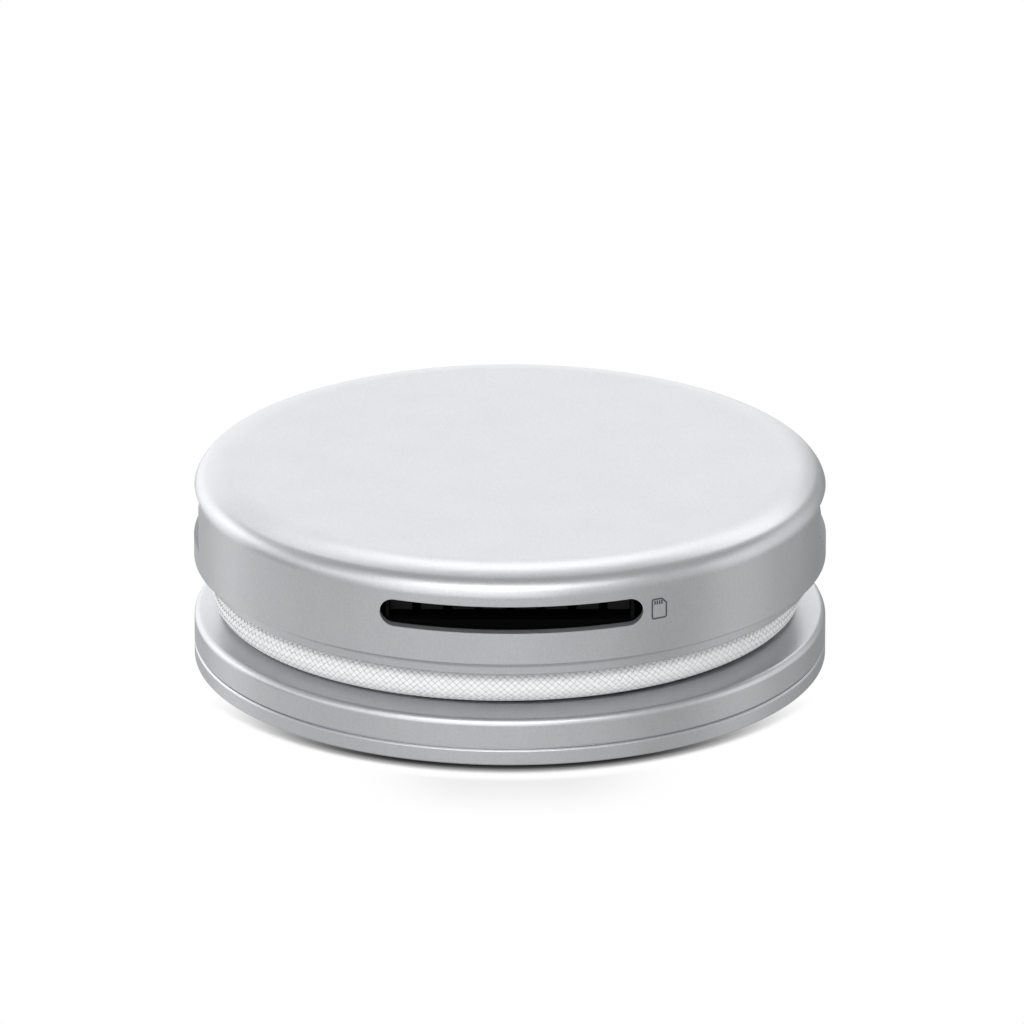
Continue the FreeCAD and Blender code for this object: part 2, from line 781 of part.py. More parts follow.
def make_card_socket_cover():
    back = card_front - s.card_socket_depth
    half = s.card_socket_width / 2
    return block("card_socket_cover", -half, half, -card_front, -back,
                 card_lid_low, card_lid_low + s.card_lid)


def make_card_socket_contacts():
    """One bent strip from the bar to its turned-up tip, repeated across the card's width."""
    body = new_body("card_socket_contacts")
    body.AllowCompound = True
    tip = -(card_front - s.contact_setback)
    root = tip + s.contact_reach
    low = floor_level + s.contact_lift
    high = floor_level + s.card_headroom + s.contact_sheet
    crest = low + s.card_headroom * 0.75
    strip = new_sketch(body, "strip", "YZ_Plane", -s.contact_pitch * (CARD_CONTACTS - 1) / 2
                       - s.contact_width / 2)
    draw_loop(strip, [
        (tip, crest), (tip, low), (tip + 4 * s.contact_sheet, low), (root, high),
        (root, high + s.contact_sheet), (tip + 4 * s.contact_sheet, low + s.contact_sheet),
        (tip + s.contact_sheet, low + s.contact_sheet), (tip + s.contact_sheet, crest)])
    first = pad(body, strip, s.contact_width)
    row = body.newObject("PartDesign::LinearPattern", "card_socket_contacts_row")
    row.Originals = [first]
    row.Direction = (strip, ["N_Axis"])
    row.Occurrences = CARD_CONTACTS
    bind(row, "Length", s.contact_pitch * (CARD_CONTACTS - 1))
    body.Tip = row
    return body


# Data socket, at -X: a folded sheet shell, a moulded tongue and its contact strips.

def make_data_socket():
    half = s.data_width / 2
    top = board_top + s.data_height
    back = socket_front - s.data_depth
    sheet_in = s.shell_sheet
    outer = block("data_socket_sleeve", -socket_front, -back, -half, half, board_top, top)
    inner = block("data_socket_hollow", -socket_front, -back - sheet_in, -half + sheet_in, half - sheet_in,
                  board_top + sheet_in, top - sheet_in)
    shell = cut("data_socket_shell", outer, inner)
    rear = block("data_socket_rear", -back - sheet_in - s.data_block, -back - sheet_in,
                 -half + sheet_in, half - sheet_in, board_top + sheet_in, top - sheet_in)
    tongue_top = top - sheet_in - s.data_tongue_drop
    tongue_low = tongue_top - s.data_tongue_height
    tongue_front = -socket_front + s.data_tongue_setback
    tongue = block("data_socket_tongue", tongue_front, -back - sheet_in - s.data_block,
                   -s.data_tongue_width / 2, s.data_tongue_width / 2, tongue_low, tongue_top)
    insulator = fuse("data_socket_insulator", [rear, tongue])
    strips = []
    for index in range(DATA_STRIPS):
        y = s.data_strip_pitch * (index - (DATA_STRIPS - 1) / 2)
        strips.append(block(f"data_strip_{index + 1}", tongue_front + s.data_tongue_setback,
                            -back - sheet_in - s.data_block, y - s.data_strip_width / 2,
                            y + s.data_strip_width / 2, tongue_low - s.strip_sheet, tongue_low))
    return [shell, insulator, group("data_socket_contacts", strips)]


# Video socket, at +X: the same build with its lower corners cut off and contacts on both sides.

def make_video_socket():
    back = socket_front - s.video_depth
    shell = new_body("video_socket_shell")
    sleeve = new_sketch(shell, "sleeve", "YZ_Plane", back)
    draw_loop(sleeve, video_outline(0.0))
    pad(shell, sleeve, s.video_depth)
    doc.recompute()
    hollow = new_sketch(shell, "hollow", "YZ_Plane", back + s.shell_sheet)
    draw_loop(hollow, video_outline(-s.shell_sheet))
    pocket(shell, hollow, s.video_depth, reverse=True)
    insulator = new_body("video_socket_insulator")
    rear = new_sketch(insulator, "rear", "YZ_Plane", back + s.shell_sheet)
    draw_loop(rear, video_outline(-s.shell_sheet))
    pad(insulator, rear, s.video_block)
    middle = board_top + s.video_height / 2
    tongue = new_sketch(insulator, "tongue", "YZ_Plane", back + s.shell_sheet)
    draw_box(tongue, -s.video_tongue_width / 2, s.video_tongue_width / 2,
             middle - s.video_tongue_height / 2, middle + s.video_tongue_height / 2)
    tongue_front = socket_front - s.video_tongue_setback
    pad(insulator, tongue, tongue_front - back - s.shell_sheet)
    strips = []
    block_front = back + s.shell_sheet + s.video_block
    for side, count in ((1, VIDEO_STRIPS), (-1, VIDEO_STRIPS - 1)):
        face = middle + s.video_tongue_height / 2 * side
        low, high = (face, face + s.strip_sheet) if side > 0 else (face - s.strip_sheet, face)
        for index in range(count):
            y = s.video_strip_pitch * (index - (count - 1) / 2)
            strips.append(block(f"video_strip_{len(strips) + 1}", block_front, tongue_front - s.shell_sheet,
                                y - s.video_strip_width / 2, y + s.video_strip_width / 2, low, high))
    return [shell, insulator, group("video_socket_contacts", strips)]


# Power socket, at +Y: a round-ended tube with a thin tongue.

def make_power_socket():
    back = socket_front - s.power_depth
    middle = board_top + s.power_height / 2
    nothing = as_size(0.0)
    shell = new_body("power_socket_shell")
    sleeve = new_sketch(shell, "sleeve", "XZ_Plane", -back)
    draw_stadium(sleeve, nothing, middle, s.power_width, s.power_height)
    pad(shell, sleeve, s.power_depth, reverse=True)
    doc.recompute()
    hollow = new_sketch(shell, "hollow", "XZ_Plane", -back - s.shell_sheet)
    draw_stadium(hollow, nothing, middle, s.power_width - 2 * s.shell_sheet,
                 s.power_height - 2 * s.shell_sheet)
    pocket(shell, hollow, s.power_depth)
    insulator = new_body("power_socket_insulator")
    rear = new_sketch(insulator, "rear", "XZ_Plane", -back - s.shell_sheet)
    draw_stadium(rear, nothing, middle, s.power_width - 2 * s.shell_sheet,
                 s.power_height - 2 * s.shell_sheet)
    pad(insulator, rear, s.power_block, reverse=True)
    tongue = new_sketch(insulator, "tongue", "XZ_Plane", -back - s.shell_sheet)
    draw_box(tongue, -s.power_tongue_width / 2, s.power_tongue_width / 2,
             middle - s.power_tongue_height / 2, middle + s.power_tongue_height / 2)
    tongue_front = socket_front - s.power_tongue_setback
    pad(insulator, tongue, tongue_front - back - s.shell_sheet, reverse=True)
    strips = []
    block_front = back + s.shell_sheet + s.power_block
    for side in (1, -1):
        face = middle + s.power_tongue_height / 2 * side
        low, high = (face, face + s.strip_sheet) if side > 0 else (face - s.strip_sheet, face)
        for index in range(POWER_STRIPS):
            x = s.power_strip_pitch * (index - (POWER_STRIPS - 1) / 2)
            strips.append(block(f"power_strip_{len(strips) + 1}", x - s.power_strip_width / 2,
                                x + s.power_strip_width / 2, block_front, tongue_front - s.shell_sheet,
                                low, high))
    return [shell, insulator, group("power_socket_contacts", strips)]


# Cable: a plain tube along straight runs and tangent arcs, from its anchor to the plug's boot.

def arc_about(x, y, radius, first, last, level):
    """An arc in the plane z = level, between two bearings in degrees from +X."""
    points = []
    for bearing in (first, (first + last) / 2, last):
        turn = math.radians(bearing)
        points.append(FreeCAD.Vector(x + radius * math.cos(turn), y + radius * math.sin(turn), level))
    return Part.Arc(*points).toShape()


def make_tube(label, edges, diameter):
    """Sweep a round section along a wire, and compare its volume with section times length."""
    path = Part.Wire(edges)
    start = edges[0].Vertexes[0].Point
    heading = edges[0].tangentAt(edges[0].FirstParameter)
    section = Part.Wire([Part.makeCircle(diameter / 2, start, heading)])
    tube = path.makePipeShell([section], True, False)
    expected = math.pi * diameter ** 2 / 4 * path.Length
    if abs(tube.Volume - expected) > 0.01 * expected:
        raise RuntimeError(f"{label} has {tube.Volume:.1f} mm3, not {expected:.1f}")
    print(f"{label}: length {path.Length:.1f} mm")
    feature = doc.addObject("Part::Feature", label)
    feature.Label = label
    feature.Shape = tube
    return feature


def make_cable():
    level = groove_mid.value
    exit_bearing = math.degrees(math.atan2(exit_cosine.value, -exit_sine.value))
    dock_bearing = math.degrees(math.atan2(dock_cosine.value, dock_sine.value))
    tail_end = FreeCAD.Vector(anchor_x.value, tail_y.value, level)
    tail_start = FreeCAD.Vector(exit_centre_x.value, tail_y.value, level)
    edges = [
        Part.LineSegment(tail_end, tail_start).toShape(),
        arc_about(exit_centre_x.value, exit_centre_y.value, SIZES["exit_bend"], 90.0, exit_bearing, level),
        arc_about(0.0, 0.0, wrap_radius.value, exit_bearing, 360.0 + dock_bearing, level),
        arc_about(dock_centre_x.value, dock_centre_y.value, SIZES["dock_bend"], dock_bearing, 90.0, level)]
    print(f"cable bends: {SIZES['exit_bend']}, {wrap_radius.value}, {SIZES['dock_bend']} mm")
    return make_tube("cable", edges, SIZES["cable_diameter"])


def make_strain_relief():
    """Moulded block on the cable's inner end, clamped between the flange and the mid plate."""
    body = new_body("strain_relief")
    outline = new_sketch(body, "outline", "XY_Plane", shoulder_top)
    draw_round_box(outline, anchor_x + s.anchor_length / 2, tail_y - (s.anchor_width - s.cable_diameter) / 2,
                   s.anchor_length, s.anchor_width, s.cable_gap * 4)
    pad(body, outline, s.groove_height)
    return body


def make_wire_bundle():
    """The cable's conductors, from the anchor up through the mid plate to the header."""
    level = groove_mid.value
    start_x = anchor_x.value + SIZES["anchor_length"]
    run_end = start_x + SIZES["wire_run"]
    bend = SIZES["wire_bend"]
    y = tail_y.value
    rise = math.sqrt(0.5) * bend
    corner = FreeCAD.Vector(run_end + rise, y, level + bend - rise)
    lift = FreeCAD.Vector(wire_x.value, y, level + bend)
    edges = [
        Part.LineSegment(FreeCAD.Vector(start_x, y, level), FreeCAD.Vector(run_end, y, level)).toShape(),
        Part.Arc(FreeCAD.Vector(run_end, y, level), corner, lift).toShape(),
        Part.LineSegment(lift, FreeCAD.Vector(wire_x.value, y, header_low.value)).toShape()]
    return make_tube("wire_bundle", edges, SIZES["wire_diameter"])


header_low = housing_low + s.wire_gap


def make_cable_header():
    return block("cable_header", wire_x - s.header_length / 2, wire_x + s.header_length / 2,
                 tail_y - s.header_width / 2, tail_y + s.header_width / 2, header_low, board_low)


# Plug: a tapered boot, a flat body and a round-ended metal tip, lying across the back in its dock.

def make_plug_boot():
    body = new_body("plug_boot")
    cable_end = new_sketch(body, "cable_end", "YZ_Plane", boot_x)
    draw_stadium(cable_end, plug_y, groove_mid, s.cable_diameter + s.cable_gap, s.cable_diameter)
    plug_end = new_sketch(body, "plug_end", "YZ_Plane", plug_x)
    draw_stadium(plug_end, plug_y, groove_mid, s.boot_width, s.cable_diameter)
    taper = body.newObject("PartDesign::AdditiveLoft", "plug_boot_taper")
    taper.Profile = cable_end
    taper.Sections = [plug_end]
    taper.Ruled = True
    return body


def make_plug_body():
    body = new_body("plug_body")
    outline = new_sketch(body, "outline", "YZ_Plane", tip_x)
    draw_round_box(outline, plug_y, groove_mid, s.plug_width, s.plug_thickness, s.plug_corner)
    pad(body, outline, s.plug_length)
    return body


def make_plug_tip():
    shell = new_body("plug_shell")
    sleeve = new_sketch(shell, "sleeve", "YZ_Plane", tip_end)
    draw_stadium(sleeve, plug_y, groove_mid, s.tip_width, s.tip_height)
    pad(shell, sleeve, s.tip_length)
    doc.recompute()
    mouth = new_sketch(shell, "mouth", "YZ_Plane", tip_end)
    draw_stadium(mouth, plug_y, groove_mid, s.tip_width - 2 * s.tip_wall, s.tip_height - 2 * s.tip_wall)
    pocket(shell, mouth, s.tip_length, reverse=True)
    filler = new_body("plug_insulator")
    core = new_sketch(filler, "core", "YZ_Plane", tip_end + s.tip_wall)
    draw_stadium(core, plug_y, groove_mid, s.tip_width - 2 * s.tip_wall, s.tip_height - 2 * s.tip_wall)
    pad(filler, core, s.tip_length - s.tip_wall)
    doc.recompute()
    slot = new_sketch(filler, "slot", "YZ_Plane", tip_end + s.tip_wall)
    draw_box(slot, plug_y - s.power_tongue_width / 2, plug_y + s.power_tongue_width / 2,
             groove_mid - s.tip_slot / 2, groove_mid + s.tip_slot / 2)
    pocket(filler, slot, s.tip_length - 4 * s.tip_wall, reverse=True)
    return [shell, filler]


head_low = groove_top + s.screw_gap
core_spots = [on_circle(lug_circle, angle) for angle in CORE_SCREW_ANGLES]
cover_spots = [on_circle(cover_circle, angle) for angle in COVER_SCREW_ANGLES]
nodes = [
    make_top_housing(), make_mid_plate(), make_spool_core(), make_base_shell(), make_bottom_cover(),
    make_rubber_foot(),
    make_screws("housing_screws", boss_spots(), head_low, s.screw_head_height,
                board_top + s.housing_screw_reach),
    make_screws("core_screws", core_spots, flange_low - s.screw_head_height, s.screw_head_height,
                groove_top + s.core_screw_reach),
    make_screws("cover_screws", cover_spots, s.foot_thickness, s.cover_screw_head,
                cover_top + s.cover_screw_reach),
    make_main_board(),
    make_chip("hub_chip", as_size(0.0), s.chip_row, s.hub_chip_side),
    make_chip("video_chip", -s.chip_spacing, s.chip_row, s.video_chip_side),
    make_power_coil(), make_crystal(), make_board_capacitors(),
    make_card_socket_body(), make_card_socket_cover(), make_card_socket_contacts(),
    *make_data_socket(), *make_video_socket(), *make_power_socket(),
    make_cable(), make_strain_relief(), make_wire_bundle(), make_cable_header(),
    make_plug_boot(), make_plug_body(), *make_plug_tip()]
doc.recompute()

# Every object has to be sound before anything is written.
failed = [item.Name for item in doc.Objects if {"Invalid", "Error"} & set(item.State)]
if failed:
    raise RuntimeError(f"failed objects: {failed}")
for node in nodes:
    if node.Shape.isNull() or not node.Shape.isValid():
        raise RuntimeError(f"{node.Label} has no sound shape")
os.makedirs("parts", exist_ok=True)
for node in nodes:
    node.Shape.exportStep(f"parts/{node.Label}.step")
print(f"{len(nodes)} nodes")
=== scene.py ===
"""Looks of the round multiport adapter: turned aluminium shells, a braided lead, its sockets and its plug."""

import bisect
import math

import bmesh
import bpy
from mathutils import Matrix, Vector


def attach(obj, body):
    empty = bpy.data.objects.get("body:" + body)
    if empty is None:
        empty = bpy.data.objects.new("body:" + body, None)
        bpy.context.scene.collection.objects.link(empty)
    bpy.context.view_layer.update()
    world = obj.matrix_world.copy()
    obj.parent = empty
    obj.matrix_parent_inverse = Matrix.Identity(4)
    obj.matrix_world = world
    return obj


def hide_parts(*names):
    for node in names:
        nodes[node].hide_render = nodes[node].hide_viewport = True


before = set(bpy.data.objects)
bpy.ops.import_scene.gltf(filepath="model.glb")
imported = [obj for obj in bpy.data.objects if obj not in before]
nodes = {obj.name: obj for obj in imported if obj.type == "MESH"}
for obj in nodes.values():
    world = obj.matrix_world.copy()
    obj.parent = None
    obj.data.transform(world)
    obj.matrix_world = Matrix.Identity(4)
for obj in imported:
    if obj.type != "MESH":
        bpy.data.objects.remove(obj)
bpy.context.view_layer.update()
scene = bpy.context.scene
MM = 0.001

# Rubber foot
# A disc of soft black rubber with a rounded lower edge, cut from sheet and glued into the recess of the
# bottom cover. It stands a little proud, so the metal never touches the table.
FOOT_RADIUS = 32.4
FOOT_TOP = 1.1
FOOT_ROUND = 0.3
RING_STEPS = 288
SAME_POINT = 1e-7
RING_MATCH = 2e-6
CREASE = 32.0


class Tone:
    """A socket of a node tree. Sums and products of tones and numbers become Math nodes."""

    def __init__(self, tree, socket=None):
        self.tree = tree
        self.socket = socket

    def node(self, kind, settings=None, values=None, out=0):
        """Add a node, with its settings first and then the values or links of its sockets."""
        made = self.tree.nodes.new(kind)
        for name, value in (settings or {}).items():
            if name == "stops":
                ramp = made.color_ramp.elements
                while len(ramp) < len(value):
                    ramp.new(1.0)
                for element, (place, colour) in zip(ramp, value):
                    element.position = place
                    element.color = (*colour, 1.0)
            else:
                setattr(made, name, value)
        for name, value in (values or {}).items():
            if isinstance(value, Tone):
                self.tree.links.new(value.socket, made.inputs[name])
            else:
                made.inputs[name].default_value = value
        return Tone(self.tree, made.outputs[out])

    def sum(self, operation, first, second=0.0):
        return self.node("ShaderNodeMath", {"operation": operation}, {0: first, 1: second})

    def __add__(self, other):
        return self.sum("ADD", self, other)

    __radd__ = __add__

    def __sub__(self, other):
        return self.sum("SUBTRACT", self, other)

    def __rsub__(self, other):
        return self.sum("SUBTRACT", other, self)

    def __mul__(self, other):
        return self.sum("MULTIPLY", self, other)

    __rmul__ = __mul__

    def __truediv__(self, other):
        return self.sum("DIVIDE", self, other)

    def feed(self, shader, name):
        self.tree.links.new(self.socket, shader.inputs[name])


def new_finish(name, colour, roughness, **fixed):
    """A material with one shader, its fixed numbers set; returns it, the shader and Object coordinates."""
    material = bpy.data.materials.new(name)
    material.use_nodes = True
    tree = material.node_tree
    shader = tree.nodes["Principled BSDF"]
    shader.inputs["Base Color"].default_value = (*colour, 1.0)
    shader.inputs["Roughness"].default_value = roughness
    for socket, value in fixed.items():
        shader.inputs[socket.replace("_", " ")].default_value = value
    point = Tone(tree).node("ShaderNodeTexCoord", out="Object")
    return material, shader, point


def noise(point, size, detail=2.0, roughness=0.5):
    """Cloudy noise from 0 to 1 whose lumps are about that many millimetres wide."""
    return point.node("ShaderNodeTexNoise", {"noise_dimensions": "3D"},
                      {"Vector": point, "Scale": 1.0 / (size * MM), "Detail": detail, "Roughness": roughness})


def blend(low, high, share):
    """Mix two colours by a share that varies over the surface."""
    return share.node("ShaderNodeMix", {"data_type": "RGBA"},
                      {"Factor": share, 6: (*low, 1.0), 7: (*high, 1.0)}, 2)


def bumps(height, shader, depth, strength=1.0):
    """Let a height from 0 to 1 raise the surface by that many millimetres."""
    height.node("ShaderNodeBump", None,
                {"Strength": strength, "Distance": depth * MM, "Height": height}).feed(shader, "Normal")


def turn(corners):
    """A solid of revolution about the upright axis, from the corners of its half section in mm."""
    bm = bmesh.new()
    points = [bm.verts.new((radius * MM, 0.0, level * MM)) for radius, level in corners]
    ends = list(zip(points, points[1:]))
    if corners[0][0] > 0.0:
        ends.append((points[-1], points[0]))
    lines = [bm.edges.new(pair) for pair in ends]
    bmesh.ops.spin(bm, geom=points + lines, cent=(0.0, 0.0, 0.0), axis=(0.0, 0.0, 1.0), angle=math.tau,
                   steps=RING_STEPS, use_merge=True)
    bmesh.ops.remove_doubles(bm, verts=bm.verts, dist=SAME_POINT)
    bmesh.ops.recalc_face_normals(bm, faces=bm.faces)
    return bm


def ease(bm, radius, level, width, segments):
    """Round or bevel the ring edge of a turned piece at that radius and level."""
    rim = [edge for edge in bm.edges
           if all(abs(vert.co.xy.length - radius * MM) < RING_MATCH
                  and abs(vert.co.z - level * MM) < RING_MATCH for vert in edge.verts)]
    bmesh.ops.bevel(bm, geom=rim, offset=width * MM, offset_type="OFFSET", segments=segments, profile=0.5,
                    affect="EDGES", material=-1)


def place(bm, name, finish, slot, stands_for=(), crease=CREASE):
    """Turn a bmesh into a piece of the object, shaded smooth up to the crease angle."""
    for face in bm.faces:
        face.smooth = True
    mesh = bpy.data.meshes.new(name)
    bm.to_mesh(mesh)
    bm.free()
    mesh.set_sharp_from_angle(angle=math.radians(crease))
    mesh.materials.append(finish)
    piece = bpy.data.objects.new(name, mesh)
    scene.collection.objects.link(piece)
    even = piece.modifiers.new("even_shading", "WEIGHTED_NORMAL")
    even.keep_sharp = True
    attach(piece, "root")
    if stands_for:
        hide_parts(*stands_for)
    return piece


foot_rubber, shader, point = new_finish("foot_rubber", (0.025, 0.025, 0.027), 0.78)
(0.72 + 0.14 * noise(point, 1.5)).feed(shader, "Roughness")
bumps(noise(point, 0.25, 3.0), shader, 0.03)

foot = turn([(0.0, 0.0), (FOOT_RADIUS, 0.0), (FOOT_RADIUS, FOOT_TOP), (0.0, FOOT_TOP)])
ease(foot, FOOT_RADIUS, 0.0, FOOT_ROUND, 4)
place(foot, "foot_pad", foot_rubber, "foot_rubber", ["rubber_foot"])

# Bottom cover
# The lower band of the base, turned from aluminium, bead-blasted and anodised in its natural silver. Its
# upper edge is bevelled, which makes the fine seam under the base shell, and a spigot centres it there.
RIM = 35.5
COVER_LOW = 0.4
COVER_ROUND = 0.2
COVER_EDGE = 2.04
COVER_BEVEL = 0.18
BEVEL_ROUND = 0.04
RECESS = 32.6
RECESS_ROUND = 0.1
SEAM = 2.3
SEAM_RADIUS = 35.1
SPIGOT_OUTSIDE = 33.2
SPIGOT_INSIDE = 31.8
SPIGOT_TOP = 3.3

anodised, shader, point = new_finish("anodised_aluminium", (0.545, 0.556, 0.572), 0.36, Metallic=1.0)
grain = noise(point, 0.22, 3.0, 0.6)
cloud = noise(point, 6.0, 3.0)
blend((0.440, 0.451, 0.466), (0.650, 0.661, 0.678), 0.75 * grain + 0.25 * cloud).feed(shader, "Base Color")
(0.33 + 0.03 * cloud + 0.04 * grain).feed(shader, "Roughness")
bumps(grain, shader, 0.008)

cover = turn([(0.0, FOOT_TOP), (RECESS, FOOT_TOP), (RECESS, COVER_LOW), (RIM, COVER_LOW), (RIM, COVER_EDGE),
              (RIM - COVER_BEVEL, COVER_EDGE + COVER_BEVEL), (SEAM_RADIUS, COVER_EDGE + COVER_BEVEL),
              (SEAM_RADIUS, SEAM), (SPIGOT_OUTSIDE, SEAM), (SPIGOT_OUTSIDE, SPIGOT_TOP),
              (SPIGOT_INSIDE, SPIGOT_TOP), (SPIGOT_INSIDE, SEAM), (0.0, SEAM)])
ease(cover, RIM, COVER_LOW, COVER_ROUND, 4)
ease(cover, RIM, COVER_EDGE, BEVEL_ROUND, 2)
ease(cover, RECESS, COVER_LOW, RECESS_ROUND, 2)
place(cover, "cover_shell", anodised, "anodised_aluminium", ["bottom_cover"])

# Base shell
# The lower flange of the spool, turned from the same aluminium. Its rim is rounded over and slopes up as
# a shoulder towards the drum, so the lead can be lifted out of the groove with a fingertip.
BASE_LOW = 2.47
BASE_BREAK = 0.05
BASE_BORE = 33.3
FLANGE_UNDER = 4.85
FLANGE_TOP = 6.45
SHOULDER_LOW = 5.66
SHOULDER_INSIDE = 32.247
RIM_ROUND = 0.66
SHOULDER_ROUND = 0.15
CORE_HOLE = 8.0

base = turn([(BASE_BORE, SEAM), (SEAM_RADIUS, SEAM), (SEAM_RADIUS, BASE_LOW), (RIM - BASE_BREAK, BASE_LOW),
             (RIM, BASE_LOW + BASE_BREAK), (RIM, SHOULDER_LOW), (SHOULDER_INSIDE, FLANGE_TOP),
             (CORE_HOLE, FLANGE_TOP), (CORE_HOLE, FLANGE_UNDER), (BASE_BORE, FLANGE_UNDER)])
ease(base, RIM, SHOULDER_LOW, RIM_ROUND, 10)
ease(base, SHOULDER_INSIDE, FLANGE_TOP, SHOULDER_ROUND, 3)
place(base, "base_flange", anodised, "anodised_aluminium", ["base_shell"])

# Spool core
# The drum behind the lead, moulded in grey plastic and clamped between the two metal halves by three
# screws. Its back is cut open as a dock for the plug, with a channel on each side for the lead.
FLAT_ANGLE = 0.2
SOLID_CREASE = 30.0


def smoothed(name, finish, slot):
    """A finer stand-in for a solid: its own mesh, merged and shaded smooth up to the crease angle."""
    bm = bmesh.new()
    bm.from_mesh(nodes[name].data)
    bmesh.ops.remove_doubles(bm, verts=bm.verts, dist=SAME_POINT)
    bmesh.ops.dissolve_limit(bm, angle_limit=math.radians(FLAT_ANGLE), verts=bm.verts, edges=bm.edges)
    return place(bm, name + "_form", finish, slot, [name], SOLID_CREASE)


core_plastic, shader, point = new_finish("core_plastic", (0.16, 0.165, 0.17), 0.5)
(0.46 + 0.12 * noise(point, 2.0, 4.0)).feed(shader, "Roughness")
bumps(noise(point, 0.18, 3.0), shader, 0.006)
smoothed("spool_core", core_plastic, "core_plastic")

# Braided lead
# A thin flexible lead in a sleeve of white yarn, braided one over one from sixteen flat bundles each way.
# It comes out of the drum on the left, runs once round the front and ends at the plug docked at the back.
LEAD_LEVEL = 8.55
LEAD_TILT = 0.17
LEAD_SHIFT = -0.22
LINER_RADIUS = 1.70
WRAP = 31.3
TURN_POINTS = 11
WRAP_START = 172.0
WRAP_END = 398.0


def lead_point(angle):
    """A point of the wound part. The lead sits a little low and far out on the left, high on the right."""
    reach = WRAP / math.cos(math.radians((WRAP_END - WRAP_START) / (TURN_POINTS - 1) / 2))
    bearing = math.radians(angle)
    level = LEAD_LEVEL + LEAD_TILT * math.cos(bearing)
    return LEAD_SHIFT + reach * math.cos(bearing), reach * math.sin(bearing), level


route = [(-10.53, 17.4, LEAD_LEVEL), (-14.5, 17.4, LEAD_LEVEL),
         (-19.6, 17.3, LEAD_LEVEL), (-26.3, 14.8, LEAD_LEVEL)]
for index in range(TURN_POINTS):
    route.append(lead_point(WRAP_START + (WRAP_END - WRAP_START) * index / (TURN_POINTS - 1)))
route += [(17.6, 26.2, LEAD_LEVEL), (14.4, 26.5, LEAD_LEVEL), (11.96, 26.5, LEAD_LEVEL)]


def lead_curve(name, bevel):
    """The lead's line as one smooth spline, with a round section if a bevel is given."""
    line = bpy.data.curves.new(name, "CURVE")
    line.dimensions = "3D"
    line.resolution_u = 24
    spline = line.splines.new("NURBS")
    spline.points.add(len(route) - 1)
    for control, spot in zip(spline.points, route):
        control.co = (*(Vector(spot) * MM), 1.0)
    spline.order_u = 3
    spline.use_endpoint_u = True
    line.bevel_depth = bevel * MM
    line.bevel_resolution = 5
    line.use_fill_caps = bevel > 0.0
    piece = bpy.data.objects.new(name, line)
    scene.collection.objects.link(piece)
    return piece


bare_line = lead_curve("lead_line", 0.0)
traced = bpy.data.meshes.new_from_object(bare_line)
track = [vert.co.copy() for vert in traced.vertices]
bpy.data.objects.remove(bare_line)
run = [0.0]
for before, after in zip(track, track[1:]):
    run.append(run[-1] + (after - before).length)


def along(distance):
    """The place on the lead's line and its outward side, that far from the start in metres."""
    distance = min(max(distance, 0.0), run[-1])
    index = min(max(bisect.bisect_right(run, distance) - 1, 0), len(run) - 2)
    share = (distance - run[index]) / (run[index + 1] - run[index])
    spot = track[index].lerp(track[index + 1], share)
    first = track[min(index + 1, len(track) - 1)] - track[max(index - 1, 0)]
    last = track[min(index + 2, len(track) - 1)] - track[index]
    heading = first.lerp(last, share)
    return spot, Vector((heading.y, -heading.x, 0.0)).normalized()


STRANDS = 16
PITCH = 12.32
BRAID_RADIUS = 1.865
CRIMP = 0.05
CRIMP_SHAPE = 0.3
FLAT_SHARE = 0.36
EDGE_SHARE = 0.485
CROWN = 0.02
SECTION = [(-EDGE_SHARE, 0.0), (-FLAT_SHARE, CROWN), (FLAT_SHARE, CROWN), (EDGE_SHARE, 0.0)]
THREADS = 4
PLAIN_SHADE = 0.4
STEPS_PER_CROSSING = 3

yarn, shader, point = new_finish("white_yarn", (0.86, 0.865, 0.875), 0.62, Specular_IOR_Level=0.35)
across = point.node("ShaderNodeAttribute", {"attribute_name": "across"}, None, "Fac")
# Painted sheen: every second bundle of the one half reads lighter, standing for the sheen it catches; the
# other half keeps a middle value.
bundle = point.node("ShaderNodeAttribute", {"attribute_name": "bundle"}, None, "Fac")
threads = 0.5 + 0.5 * across.sum("SINE", across * (THREADS * math.tau))
fuzz = noise(point, 0.10, 2.0)
# Painted shade: each bundle turns darker towards its edges, standing for the shade in the crevices between
# bundles.
edge_shade = across.sum("ABSOLUTE", across - 0.5) - FLAT_SHARE
edge_shade = across.sum("MINIMUM", across.sum("MAXIMUM", edge_shade / (EDGE_SHARE - FLAT_SHARE), 0.0), 1.0)
tint = across.sum("MAXIMUM", 0.66 + 0.12 * threads + 0.06 * fuzz + 0.16 * bundle - 0.75 * edge_shade, 0.0)
blend((0.66, 0.67, 0.68), (0.925, 0.93, 0.94), tint).feed(shader, "Base Color")
bumps(0.8 * threads + 0.2 * fuzz, shader, 0.012)


